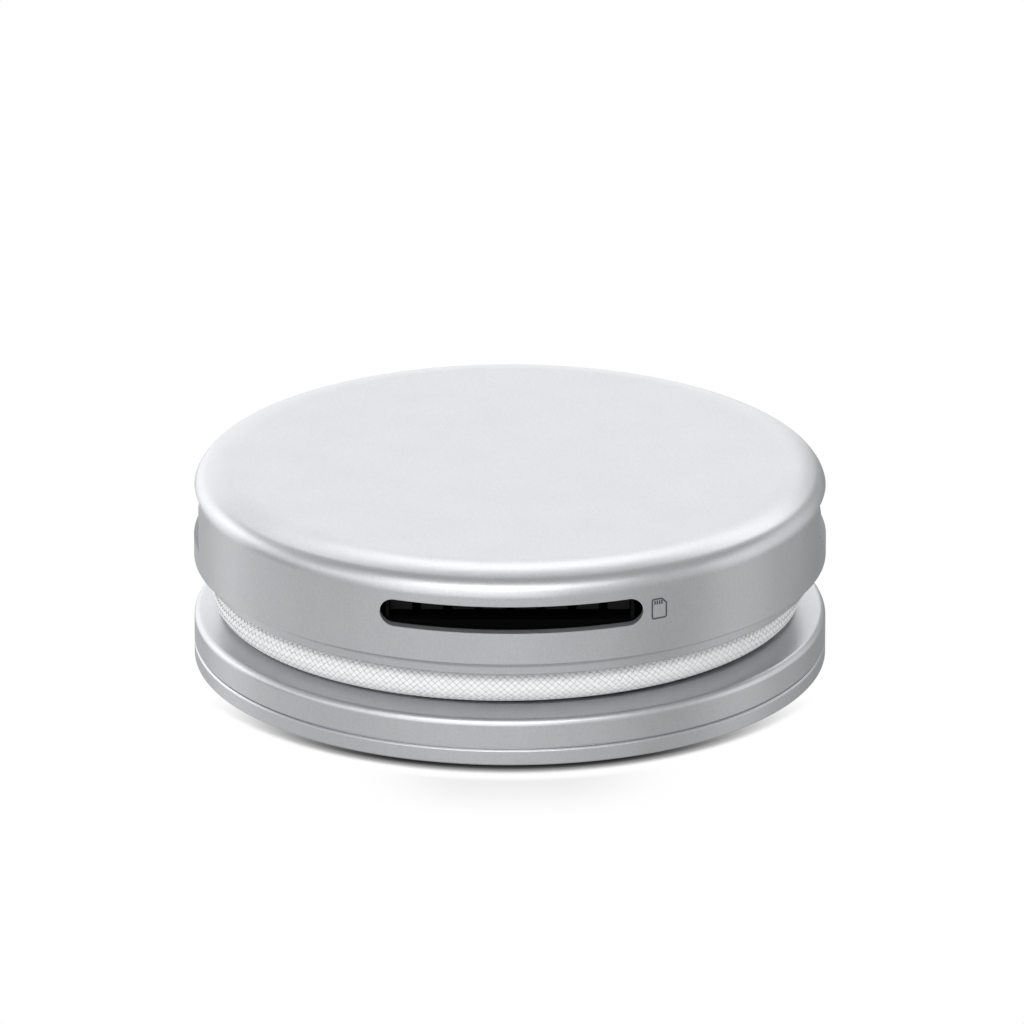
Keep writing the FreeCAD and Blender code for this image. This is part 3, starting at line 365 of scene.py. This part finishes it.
def braid(name, lean):
    """One half of the sleeve: flat bundles that wind one way and pass over and under the other half."""
    spacing = PITCH / (2 * STRANDS)
    steps = int(run[-1] / MM / spacing * STEPS_PER_CROSSING)
    verts, faces, widths, shades = [], [], [], []
    for strand in range(STRANDS):
        # Painted sheen level of this bundle, read by the yarn's colour.
        shade = strand % 2 if lean > 0 else PLAIN_SHADE
        for step in range(steps + 1):
            crossing = step / STEPS_PER_CROSSING
            wave = math.cos(math.pi * crossing)
            lift = lean * CRIMP * math.copysign(abs(wave) ** CRIMP_SHAPE, wave)
            for offset, height in SECTION:
                spot, side = along((crossing - offset) * spacing * MM)
                angle = lean * math.tau * (2 * strand + offset + crossing) / (2 * STRANDS)
                radius = (BRAID_RADIUS + lift + height) * MM
                upward = Vector((0.0, 0.0, radius * math.sin(angle)))
                verts.append(spot + side * (radius * math.cos(angle)) + upward)
                widths.append(offset + 0.5)
                shades.append(shade)
        first = strand * (steps + 1) * 4
        for step in range(steps):
            low = first + step * 4
            for corner in range(4):
                after = (corner + 1) % 4
                faces.append((low + corner, low + after, low + 4 + after, low + 4 + corner))
        faces.append((first, first + 1, first + 2, first + 3))
        end = first + steps * 4
        faces.append((end + 3, end + 2, end + 1, end))
    mesh = bpy.data.meshes.new(name)
    mesh.from_pydata(verts, [], faces)
    for label, numbers in (("across", widths), ("bundle", shades)):
        mesh.attributes.new(label, "FLOAT", "POINT").data.foreach_set("value", numbers)
    bm = bmesh.new()
    bm.from_mesh(mesh)
    bmesh.ops.recalc_face_normals(bm, faces=bm.faces)
    for face in bm.faces:
        face.smooth = True
    bm.to_mesh(mesh)
    bm.free()
    mesh.materials.append(yarn)
    piece = bpy.data.objects.new(name, mesh)
    scene.collection.objects.link(piece)
    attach(piece, "root")
    return piece


sleeve_left = braid("braid_left", 1)
sleeve_right = braid("braid_right", -1)

liner, shader, point = new_finish("lead_liner", (0.52, 0.525, 0.53), 0.7)
(0.6 + 0.2 * noise(point, 0.8)).feed(shader, "Roughness")
lead = lead_curve("lead_core", LINER_RADIUS)
lead.data.materials.append(liner)
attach(lead, "root")
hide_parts("cable")

# Plug
# The plug on the lead's end: a slim aluminium sleeve with a grey moulded boot behind and a drawn steel
# tongue shell in front. It lies on its side in the dock at the back, where the drum keeps it.

plug_metal, shader, point = new_finish("plug_aluminium", (0.70, 0.71, 0.72), 0.34, Metallic=1.0)
speck = noise(point, 0.16, 3.0, 0.6)
blend((0.66, 0.668, 0.676), (0.715, 0.724, 0.733), speck).feed(shader, "Base Color")
bumps(speck, shader, 0.004)
boot_plastic, shader, point = new_finish("boot_plastic", (0.72, 0.725, 0.73), 0.45)
(0.40 + 0.12 * noise(point, 1.2, 3.0)).feed(shader, "Roughness")
bumps(noise(point, 0.2, 3.0), shader, 0.005)
connector_steel, shader, point = new_finish("connector_steel", (0.60, 0.59, 0.57), 0.24, Metallic=1.0)
(0.18 + 0.16 * noise(point, 1.6, 4.0)).feed(shader, "Roughness")
bumps(noise(point, 0.3, 3.0), shader, 0.003)
connector_plastic, shader, point = new_finish("connector_plastic", (0.010, 0.010, 0.011), 0.5,
                                               Specular_IOR_Level=0.3)
(0.42 + 0.16 * noise(point, 1.0, 3.0)).feed(shader, "Roughness")
bumps(noise(point, 0.15, 3.0), shader, 0.004)

plug_body = smoothed("plug_body", plug_metal, "plug_aluminium")
plug_boot = smoothed("plug_boot", boot_plastic, "boot_plastic")
plug_shell = smoothed("plug_shell", connector_steel, "connector_steel")
plug_insulator = smoothed("plug_insulator", connector_plastic, "connector_plastic")

# Mid plate
# The turned disc that closes the housing from below. Its rim shows as a lip, set back under the housing
# and curved out to meet it, and it carries the posts for the board.
PLATE_LOW = 10.65
CUP_LOW = 12.3
LIP = 34.2
LIP_ROUND = 0.12
COVE_TOP = 12.15
COVE_RIM = 34.9
COVE_ROUND = 0.699
PLATE_SPIGOT_OUTSIDE = 33.8
PLATE_SPIGOT_INSIDE = 32.4
PLATE_SPIGOT_TOP = 13.3
WIRE_HOLE = 2.0

plate = turn([(WIRE_HOLE, PLATE_LOW), (LIP, PLATE_LOW), (LIP, COVE_TOP), (COVE_RIM, COVE_TOP),
              (COVE_RIM, CUP_LOW), (PLATE_SPIGOT_OUTSIDE, CUP_LOW), (PLATE_SPIGOT_OUTSIDE, PLATE_SPIGOT_TOP),
              (PLATE_SPIGOT_INSIDE, PLATE_SPIGOT_TOP), (PLATE_SPIGOT_INSIDE, CUP_LOW), (WIRE_HOLE, CUP_LOW)])
ease(plate, LIP, COVE_TOP, COVE_ROUND, 8)
ease(plate, LIP, PLATE_LOW, LIP_ROUND, 3)
place(plate, "lip_plate", anodised, "anodised_aluminium", ["mid_plate"])

# Board and what is soldered to it
# A round green board clamped between posts, with two chips, a coil, a crystal and a row of capacitors.
# All of it is shut inside the housing, and so are the screws, the wires and their header.


def dress(finish, *names):
    """Give solids that keep their own mesh a finish."""
    for name in names:
        for holder in nodes[name].material_slots:
            holder.link = "OBJECT"
            holder.material = finish


laminate, shader, point = new_finish("board_laminate", (0.01, 0.09, 0.035), 0.4)
blend((0.008, 0.07, 0.028), (0.014, 0.12, 0.05), noise(point, 1.5, 3.0)).feed(shader, "Base Color")
dress(laminate, "main_board")
chip_plastic, shader, point = new_finish("chip_plastic", (0.015, 0.015, 0.016), 0.55)
(0.48 + 0.16 * noise(point, 0.6, 3.0)).feed(shader, "Roughness")
dress(chip_plastic, "hub_chip", "video_chip", "power_coil")
ceramic, shader, point = new_finish("component_ceramic", (0.35, 0.25, 0.16), 0.5)
(0.42 + 0.16 * noise(point, 0.5, 3.0)).feed(shader, "Roughness")
dress(ceramic, "board_capacitors")
dress(connector_steel, "crystal")
screw_steel, shader, point = new_finish("screw_steel", (0.45, 0.45, 0.45), 0.35, Metallic=1.0)
(0.28 + 0.14 * noise(point, 0.7, 3.0)).feed(shader, "Roughness")
dress(screw_steel, "housing_screws", "core_screws", "cover_screws")
wire_jacket, shader, point = new_finish("wire_jacket", (0.55, 0.55, 0.55), 0.5)
(0.44 + 0.12 * noise(point, 0.7, 3.0)).feed(shader, "Roughness")
dress(wire_jacket, "wire_bundle")
dress(connector_plastic, "cable_header", "strain_relief")

# Card socket
# A black moulded tray with a sheet-steel lid behind the slot in the front. Eight spring contacts, stamped
# from one strip, reach forward under the lid, and their tips show in the slot.

tray_plastic, shader, point = new_finish("tray_plastic", (0.0025, 0.0025, 0.0026), 0.6,
                                          Specular_IOR_Level=0.08)
(0.55 + 0.12 * noise(point, 0.9, 3.0)).feed(shader, "Roughness")
dress(tray_plastic, "card_socket_body")
dress(connector_steel, "card_socket_cover")
contact_metal, shader, point = new_finish("contact_gold", (0.75, 0.55, 0.25), 0.3, Metallic=1.0)
(0.24 + 0.14 * noise(point, 0.5, 3.0)).feed(shader, "Roughness")
# Painted shade: the spring contacts are coloured near black, standing for the shade that fills the slot, not
# for their metal.
painted_shade_spring, shader, point = new_finish("painted_shade_spring", (0.006, 0.006, 0.0065), 0.5, Specular_IOR_Level=0.25)
(0.44 + 0.14 * noise(point, 0.5, 3.0)).feed(shader, "Roughness")
dress(painted_shade_spring, "card_socket_contacts")

# Sockets on the rim
# Drawn steel shells with moulded blocks and gilt contacts behind their windows: data on the left, video
# on the right, power at the back. All three are soldered to the board.

data_plastic, shader, point = new_finish("data_plastic", (0.02, 0.09, 0.42), 0.45)
(0.38 + 0.14 * noise(point, 0.9, 3.0)).feed(shader, "Roughness")
dress(connector_steel, "data_socket_shell", "video_socket_shell")
smoothed("power_socket_shell", connector_steel, "connector_steel")
dress(data_plastic, "data_socket_insulator")
dress(connector_plastic, "video_socket_insulator", "power_socket_insulator")
dress(contact_metal, "data_socket_contacts", "video_socket_contacts", "power_socket_contacts")

# Top housing
# A cup machined from aluminium, with a soft edge round its flat top, bead-blasted and anodised. The slot
# and the three windows are milled through its wall afterwards, and the plate closes it from below.
TOP = 23.0
WALL_TOP = 20.07
LOWER_ROUND = 0.12
TIGHT = 2.32
EDGE_WIDTH = 5.1
EDGE_HEIGHT = TOP - WALL_TOP
WIDE = (EDGE_WIDTH ** 2 + EDGE_HEIGHT ** 2 - 2 * EDGE_WIDTH * TIGHT) / (2 * (EDGE_HEIGHT - TIGHT))
SWEEP = math.atan2(WIDE - EDGE_HEIGHT, EDGE_WIDTH - TIGHT)
INNER = 33.9
ROOF = 21.4
INNER_ROUND = 2.0
SHADE_LAP = 0.42
SHADE_MARGIN = 0.05
CUT_DEPTH = 12.0
CUT_MIDDLE = 33.0
WINDOWS_LOW = 14.0
WINDOWS_HIGH = 22.0
FRONT_PART = -20.0
EDGE_BREAK = 0.09
SHARP_ANGLE = 50.0
SKIN_MATCH = 0.97

bm = bmesh.new()
wall = [bm.verts.new((RIM * MM, 0.0, level * MM)) for level in (CUP_LOW, WALL_TOP)]
bm.edges.new(wall)
tip = bmesh.ops.spin(bm, geom=wall[1:], cent=((RIM - TIGHT) * MM, 0.0, WALL_TOP * MM),
                     axis=(0.0, -1.0, 0.0), angle=SWEEP, steps=12)["geom_last"]
tip = bmesh.ops.spin(bm, geom=tip, cent=((RIM - EDGE_WIDTH) * MM, 0.0, (TOP - WIDE) * MM),
                     axis=(0.0, -1.0, 0.0), angle=math.pi / 2 - SWEEP, steps=12)["geom_last"]
end = [vert for vert in tip if isinstance(vert, bmesh.types.BMVert)][0]
pole = bm.verts.new((0.0, 0.0, TOP * MM))
bm.edges.new((end, pole))
inside = [bm.verts.new((0.0, 0.0, ROOF * MM)), bm.verts.new(((INNER - INNER_ROUND) * MM, 0.0, ROOF * MM))]
bm.edges.new(inside)
tip = bmesh.ops.spin(bm, geom=inside[1:], cent=((INNER - INNER_ROUND) * MM, 0.0, (ROOF - INNER_ROUND) * MM),
                     axis=(0.0, 1.0, 0.0), angle=math.pi / 2, steps=6)["geom_last"]
end = [vert for vert in tip if isinstance(vert, bmesh.types.BMVert)][0]
foot_ring = bm.verts.new((INNER * MM, 0.0, CUP_LOW * MM))
bm.edges.new((end, foot_ring))
bm.edges.new((foot_ring, wall[0]))
bmesh.ops.spin(bm, geom=bm.verts[:] + bm.edges[:], cent=(0.0, 0.0, 0.0), axis=(0.0, 0.0, 1.0),
               angle=math.tau, steps=RING_STEPS, use_merge=True)
bmesh.ops.remove_doubles(bm, verts=bm.verts, dist=SAME_POINT)
bmesh.ops.recalc_face_normals(bm, faces=bm.faces)
ease(bm, RIM, CUP_LOW, LOWER_ROUND, 4)
housing = place(bm, "housing_cup", anodised, "anodised_aluminium", ["top_housing"])


def window(bm, width, low, high, heading, corner, corners_low_only=False):
    """Add a block that cuts a window through the wall, with its corners along the cut rounded or bevelled."""
    block = bmesh.ops.create_cube(bm, size=1.0)["verts"]
    bmesh.ops.scale(bm, vec=(width * MM, CUT_DEPTH * MM, (high - low) * MM), verts=block)
    bmesh.ops.translate(bm, vec=(0.0, -CUT_MIDDLE * MM, (low + high) / 2 * MM), verts=block)
    along_cut = [edge for edge in {edge for vert in block for edge in vert.link_edges}
                 if abs(edge.verts[0].co.y - edge.verts[1].co.y) > MM
                 and (edge.verts[0].co.z < (low + high) / 2 * MM or not corners_low_only)]
    known = set(bm.verts) - set(block)
    bmesh.ops.bevel(bm, geom=along_cut, offset=corner * MM, offset_type="OFFSET",
                    segments=1 if corners_low_only else 14, profile=0.5, affect="EDGES", material=-1)
    bmesh.ops.rotate(bm, cent=(0.0, 0.0, 0.0), matrix=Matrix.Rotation(math.radians(heading), 3, "Z"),
                     verts=[vert for vert in bm.verts if vert not in known])


# The card slot, then the windows of the data, video and power sockets.
cuts = bmesh.new()
window(cuts, width=29.1, low=16.04, high=19.13, heading=0.3, corner=1.544)
window(cuts, width=13.2, low=14.77, high=20.62, heading=-90.0, corner=0.25)
window(cuts, width=15.1, low=14.77, high=20.52, heading=90.0, corner=2.05, corners_low_only=True)
window(cuts, width=9.14, low=14.77, high=18.23, heading=180.0, corner=1.729)
bmesh.ops.recalc_face_normals(cuts, faces=cuts.faces)
mesh = bpy.data.meshes.new("window_cuts")
cuts.to_mesh(mesh)
cuts.free()
milling = bpy.data.objects.new("window_cuts", mesh)
scene.collection.objects.link(milling)
housing.modifiers.clear()
cut = housing.modifiers.new("windows", "BOOLEAN")
cut.operation = "DIFFERENCE"
cut.solver = "EXACT"
cut.object = milling
bpy.context.view_layer.update()
milled = bpy.data.meshes.new_from_object(housing.evaluated_get(bpy.context.evaluated_depsgraph_get()))
housing.modifiers.clear()
bpy.data.objects.remove(milling)
housing.data = milled
bm = bmesh.new()
bm.from_mesh(milled)
bmesh.ops.remove_doubles(bm, verts=bm.verts, dist=2 * SAME_POINT)
bm.normal_update()


def skin_normal(spot):
    """The true outward direction of the cup's turned skin at a point of it."""
    radius, level = spot.xy.length / MM, spot.z / MM
    if radius < RIM - EDGE_WIDTH:
        return Vector((0.0, 0.0, 1.0))
    if level > WALL_TOP + TIGHT * math.sin(SWEEP):
        rise, reach = level - TOP + WIDE, radius - RIM + EDGE_WIDTH
    elif level > WALL_TOP:
        rise, reach = level - WALL_TOP, radius - RIM + TIGHT
    elif level < CUP_LOW + LOWER_ROUND:
        rise, reach = level - CUP_LOW - LOWER_ROUND, radius - RIM + LOWER_ROUND
    else:
        rise, reach = 0.0, 1.0
    return Vector((*(spot.xy * (reach / radius / MM)), rise)).normalized()


def on_skin(face):
    """Whether a face is part of the cup's outer skin."""
    return face.normal.dot(skin_normal(face.calc_center_median())) > SKIN_MATCH


sharp = [edge for edge in bm.edges if len(edge.link_faces) == 2
         and on_skin(edge.link_faces[0]) != on_skin(edge.link_faces[1])
         and all(WINDOWS_LOW * MM < vert.co.z < WINDOWS_HIGH * MM for vert in edge.verts)
         and edge.calc_face_angle(0.0) > math.radians(SHARP_ANGLE)]
chamfer = bmesh.ops.bevel(bm, geom=sharp, offset=EDGE_BREAK * MM, offset_type="OFFSET", segments=2,
                          profile=0.5, affect="EDGES", material=-1)["faces"]
bm.normal_update()
facing = []
for face in bm.faces:
    face.smooth = True
    middle = face.calc_center_median()
    outer = on_skin(face)
    # Painted shade: faces inside the cup take the near-black second material, standing for the shade inside
    # the housing.
    if not outer and middle.z > (CUP_LOW + LOWER_ROUND) * MM:
        reach = max(vert.co.xy.length for vert in face.verts)
        face.material_index = 1 if reach < (INNER + SHADE_MARGIN) * MM else 2
    facing += [skin_normal(loop.vert.co) if outer else Vector((0.0, 0.0, 0.0)) for loop in face.loops]
# Painted highlight: the down-facing chamfers along the upper edges of the front openings get a brighter
# metal, standing for the light line they catch.
for face in chamfer:
    if face.normal.z < 0.0 and face.calc_center_median().y < FRONT_PART * MM:
        face.material_index = 3
bm.to_mesh(milled)
bm.free()
milled.set_sharp_from_angle(angle=math.radians(CREASE))
milled.normals_split_custom_set(facing)

# Painted shade for the inside of the cup: near black, standing for the shade within the housing.
painted_shade_inside, shader, point = new_finish("painted_shade_inside", (0.02, 0.02, 0.021), 0.75)
(0.68 + 0.14 * noise(point, 0.9, 3.0)).feed(shader, "Roughness")
milled_edge, shader, point = new_finish("milled_edge", (0.46, 0.47, 0.485), 0.5, Metallic=1.0)
strokes = point.node("ShaderNodeMapping", None, {"Vector": point, "Scale": (0.12, 1.0, 1.0)})
strokes = noise(strokes, 0.14, 2.0, 0.6)
bare = blend((0.33, 0.34, 0.355), (0.43, 0.44, 0.455), strokes)
# Painted shade: the part of each cut wall near the inside of the cup turns near black, standing for the shade
# within.
reach = point.node("ShaderNodeVectorMath", {"operation": "MULTIPLY"}, {0: point, 1: (1.0, 1.0, 0.0)})
reach = point.node("ShaderNodeVectorMath", {"operation": "LENGTH"}, {0: reach}, "Value")
inner_shade = reach.sum("LESS_THAN", reach, (INNER + SHADE_LAP) * MM)
shaded_edge = bare.node("ShaderNodeMix", {"data_type": "RGBA"},
                   {"Factor": inner_shade, 6: bare, 7: (0.01, 0.01, 0.01, 1.0)}, 2)
shaded_edge.feed(shader, "Base Color")
(0.56 + 0.16 * strokes).feed(shader, "Roughness")
bumps(strokes, shader, 0.01)
milled.materials.append(painted_shade_inside)
milled.materials.append(milled_edge)
# Painted highlight: a lighter metal for those chamfers.
painted_highlight_chamfer, shader, point = new_finish("painted_highlight_chamfer", (0.66, 0.67, 0.685), 0.4, Metallic=1.0)
(0.36 + 0.1 * noise(point, 0.4, 2.0)).feed(shader, "Roughness")
milled.materials.append(painted_highlight_chamfer)

# Card sign
# A small sign printed in grey beside the slot: the outline of a card with its cut corner and its contacts.
# The ink is a film a few hundredths of a millimetre thick that follows the round wall.
SIGN_BEARING = 27.75
SIGN_MIDDLE = 17.5
SIGN_WIDTH = 1.95
SIGN_HEIGHT = 2.45
SIGN_CUT = 0.62
SIGN_LINE = 0.19
SIGN_ROUND = 0.28
BARS = 4
BAR_WIDTH = 0.19
BAR_HEIGHT = 0.46
BAR_FIRST = -0.55
BAR_STEP = 0.29
BAR_LEVEL = 0.72
INK = 0.03

bm = bmesh.new()
half, tall = SIGN_WIDTH / 2, SIGN_HEIGHT / 2
rim = [bm.verts.new((x * MM, 0.0, z * MM)) for x, z in (
    (-half, -tall), (half, -tall), (half, tall - SIGN_CUT), (half - SIGN_CUT, tall), (-half, tall))]
bm.faces.new(rim)
bmesh.ops.bevel(bm, geom=[rim[0], rim[1], rim[4]], offset=SIGN_ROUND * MM, offset_type="OFFSET", segments=5,
                profile=0.5, affect="VERTICES", material=-1)
outline = bm.faces[:]
bmesh.ops.inset_region(bm, faces=outline, thickness=SIGN_LINE * MM, use_boundary=True, use_even_offset=True)
bmesh.ops.delete(bm, geom=outline, context="FACES")
for bar in range(BARS):
    strip = bmesh.ops.create_grid(bm, x_segments=1, y_segments=1, size=0.5 * MM,
                                  matrix=Matrix.Rotation(math.pi / 2, 4, "X"))["verts"]
    bmesh.ops.scale(bm, vec=(BAR_WIDTH, 1.0, BAR_HEIGHT), verts=strip)
    bmesh.ops.translate(bm, vec=((BAR_FIRST + BAR_STEP * bar) * MM, 0.0, BAR_LEVEL * MM), verts=strip)
bmesh.ops.recalc_face_normals(bm, faces=bm.faces)
if bm.faces[0].normal.y > 0.0:
    bmesh.ops.reverse_faces(bm, faces=bm.faces)
film = bmesh.ops.extrude_face_region(bm, geom=bm.faces[:], use_keep_orig=True)["geom"]
raised = [part for part in film if isinstance(part, bmesh.types.BMVert)]
bmesh.ops.translate(bm, vec=(0.0, -INK * MM, 0.0), verts=raised)
for vert in bm.verts:
    bearing = math.radians(SIGN_BEARING) + vert.co.x / (RIM * MM)
    reach = (RIM - INK / 2) * MM - vert.co.y
    vert.co = (reach * math.sin(bearing), -reach * math.cos(bearing), SIGN_MIDDLE * MM + vert.co.z)
bmesh.ops.recalc_face_normals(bm, faces=bm.faces)
ink, shader, point = new_finish("grey_ink", (0.060, 0.068, 0.076), 0.55)
(0.48 + 0.14 * noise(point, 0.2, 2.0)).feed(shader, "Roughness")
place(bm, "card_sign", ink, "anodised_aluminium")

# Floor, light and camera
# A white table that only the camera sees, soft panels round the object, and a long lens at the height of
# the product shot. The table carries a painted shadow only where the object stands close to it, in front,
# and a faint painted reflection of the base there, a grey patch. Places on the table are in metres.
TABLE_HALF = 3.0
TABLE_DROP = 0.00002
SHADOW_REACH = 0.003
SHADOW_CORE = 0.28
SHADOW_EDGE = 4.4
SHADOW_POWER = 7.0
SHADOW_START = -0.012
SHADOW_FULL = -0.033
SHEEN = 0.15
SHEEN_MIDDLE = 0.001
SHEEN_INSIDE = 0.0378
SHEEN_FULL = 0.0394
SHEEN_FADE = 0.0380
SHEEN_OUTSIDE = 0.0510
SHEEN_NARROW = 0.0040
SHEEN_WIDE = 0.0190
SHEEN_FRONT = -0.02

table = bmesh.new()
bmesh.ops.create_grid(table, x_segments=1, y_segments=1, size=TABLE_HALF)
mesh = bpy.data.meshes.new("table")
table.to_mesh(mesh)
table.free()
floor = bpy.data.objects.new("table", mesh)
scene.collection.objects.link(floor)
floor.visible_diffuse = False
floor.visible_glossy = False
floor.visible_transmission = False
floor.visible_shadow = False
floor.location.z = -TABLE_DROP
paper = bpy.data.materials.new("table_white")
paper.use_nodes = True
tree = paper.node_tree
tree.nodes.clear()
tone = Tone(tree)
shade = tone.node("ShaderNodeAmbientOcclusion", {"samples": 16}, {"Distance": SHADOW_REACH}, "AO")
shade = SHADOW_CORE * shade + SHADOW_EDGE * tone.sum("POWER", shade, SHADOW_POWER)
shade = tone.sum("MINIMUM", shade, 1.0)
spot = tone.node("ShaderNodeTexCoord", out="Object")
depth = tone.node("ShaderNodeSeparateXYZ", None, {0: spot}, "Y")
aside = tone.node("ShaderNodeSeparateXYZ", None, {0: spot}, "X")
aside = tone.sum("ABSOLUTE", aside - SHEEN_MIDDLE)
reach = tone.node("ShaderNodeVectorMath", {"operation": "LENGTH"}, {0: spot}, "Value")


def rise(value, start, full):
    """A smooth step from 0 to 1 between two places on the table."""
    return value.node("ShaderNodeMapRange", {"interpolation_type": "SMOOTHSTEP"},
                      {"Value": value, "From Min": start, "From Max": full})


# Painted shadow, kept to the front of the object.
shade = 1.0 - rise(depth, SHADOW_START, SHADOW_FULL) * (1.0 - shade)
# Painted reflection of the base: a faint grey patch on the table in front.
mirror = rise(reach, SHEEN_INSIDE, SHEEN_FULL) * rise(reach, SHEEN_OUTSIDE, SHEEN_FADE)
mirror = mirror * rise(aside, SHEEN_WIDE, SHEEN_NARROW) * rise(depth, 0.0, SHEEN_FRONT)
shade = shade - SHEEN * mirror
lit = tone.node("ShaderNodeEmission", None, {"Color": (1.0, 1.0, 1.0, 1.0), "Strength": shade})
below = tone.node("ShaderNodeNewGeometry", out="Backfacing")
clear = tone.node("ShaderNodeBsdfTransparent")
lit = tone.node("ShaderNodeMixShader", None, {0: below, 1: lit, 2: clear})
out = tree.nodes.new("ShaderNodeOutputMaterial")
tree.links.new(lit.socket, out.inputs["Surface"])
mesh.materials.append(paper)

world = bpy.data.worlds.new("studio")
scene.world = world
world.use_nodes = True
tree = world.node_tree
tree.nodes.clear()
tone = Tone(tree)
heading = tone.node("ShaderNodeTexCoord", out="Generated")
height = heading.node("ShaderNodeSeparateXYZ", None, {0: heading}, "Z")
STUDIO_GREY = (0.50, 0.50, 0.50)
TABLE_GREY = (0.35, 0.35, 0.35)
sky = height.node("ShaderNodeValToRGB", {"stops": [(0.16, STUDIO_GREY), (0.20, TABLE_GREY),
                                                   (0.495, TABLE_GREY), (0.505, STUDIO_GREY)]},
                  {0: 0.5 + 0.5 * height})
seen = tone.node("ShaderNodeLightPath", out="Is Camera Ray")
glow = tone.node("ShaderNodeMix", {"data_type": "RGBA"}, {"Factor": seen, 6: sky, 7: (1.0, 1.0, 1.0, 1.0)}, 2)
backdrop = tone.node("ShaderNodeBackground", None, {"Color": glow, "Strength": 1.0})
out = tree.nodes.new("ShaderNodeOutputWorld")
tree.links.new(backdrop.socket, out.inputs["Surface"])

RING_SIZES = {-25: 30, 0: 20, 20: 20, 40: 20, 50: 20}
BOX_TURN = 30
BOX_CENTRE = 0.012
drum = {}


def soft_box(first, last, heights, level):
    """Add light to rings of the studio's drum between two headings; 0 is in front and 90 on the right."""
    for heading in range(first, last + 1, BOX_TURN):
        for height in heights:
            spot = (heading % 360, height)
            drum[spot] = drum.get(spot, 0.0) + level


# Panels in front, with the brightest of them high up.
soft_box(-60, 30, (-25, 0, 20, 40), 0.35)
soft_box(-30, 0, (0, 20, 40), 0.74)
soft_box(-30, 30, (40,), 1.20)
soft_box(0, 0, (40, 50), 0.75)
# Panels on the left and behind on the left.
soft_box(-120, -90, (-25,), 0.43)
soft_box(-120, -60, (20,), 0.61)
soft_box(-180, -120, (0, 20), 0.94)
soft_box(-150, -120, (-25, 0, 20, 40), 0.22)
# Weaker panels on the right.
soft_box(60, 120, (-25, 0, 20), 0.16)
soft_box(90, 90, (-25, 0, 20), 0.27)
soft_box(90, 120, (0, 20), 0.35)
# Panels high up behind, which light the edge of the top.
soft_box(150, 150, (40,), 1.99)
soft_box(180, 210, (50,), 1.19)
soft_box(180, 180, (50,), 1.22)
for (heading, height), level in drum.items():
    turned, tilt = math.radians(heading), math.radians(height)
    lamp = bpy.data.lights.new("soft_box", "AREA")
    lamp.shape = "RECTANGLE"
    lamp.size = 2.0 * math.tan(math.radians(BOX_TURN / 2)) * math.cos(tilt)
    lamp.size_y = 2.0 * math.tan(math.radians(RING_SIZES[height] / 2))
    lamp.energy = level * math.pi * lamp.size * lamp.size_y
    holder = bpy.data.objects.new("soft_box", lamp)
    scene.collection.objects.link(holder)
    holder.location = (math.cos(tilt) * math.sin(turned), -math.cos(tilt) * math.cos(turned),
                       math.sin(tilt) + BOX_CENTRE)
    holder.rotation_euler = (math.pi / 2 - tilt, 0.0, turned)
    holder.visible_camera = False

ELEVATION = math.radians(20.61)
DISTANCE = 1.9
AIM_ASIDE = 0.00023
AIM_LEVEL = 0.01705
SENSOR = 36.0
FOCAL_LENGTH = 594.75
FAR_LIMIT = 10.0
lens = bpy.data.cameras.new("long_lens")
lens.sensor_width = SENSOR
lens.lens = FOCAL_LENGTH
lens.clip_end = FAR_LIMIT
camera = bpy.data.objects.new("long_lens", lens)
scene.collection.objects.link(camera)
camera.location = (AIM_ASIDE, -DISTANCE * math.cos(ELEVATION), AIM_LEVEL + DISTANCE * math.sin(ELEVATION))
camera.rotation_euler = (math.pi / 2 - ELEVATION, 0.0, 0.0)
scene.camera = camera
scene.view_settings.view_transform = "Standard"
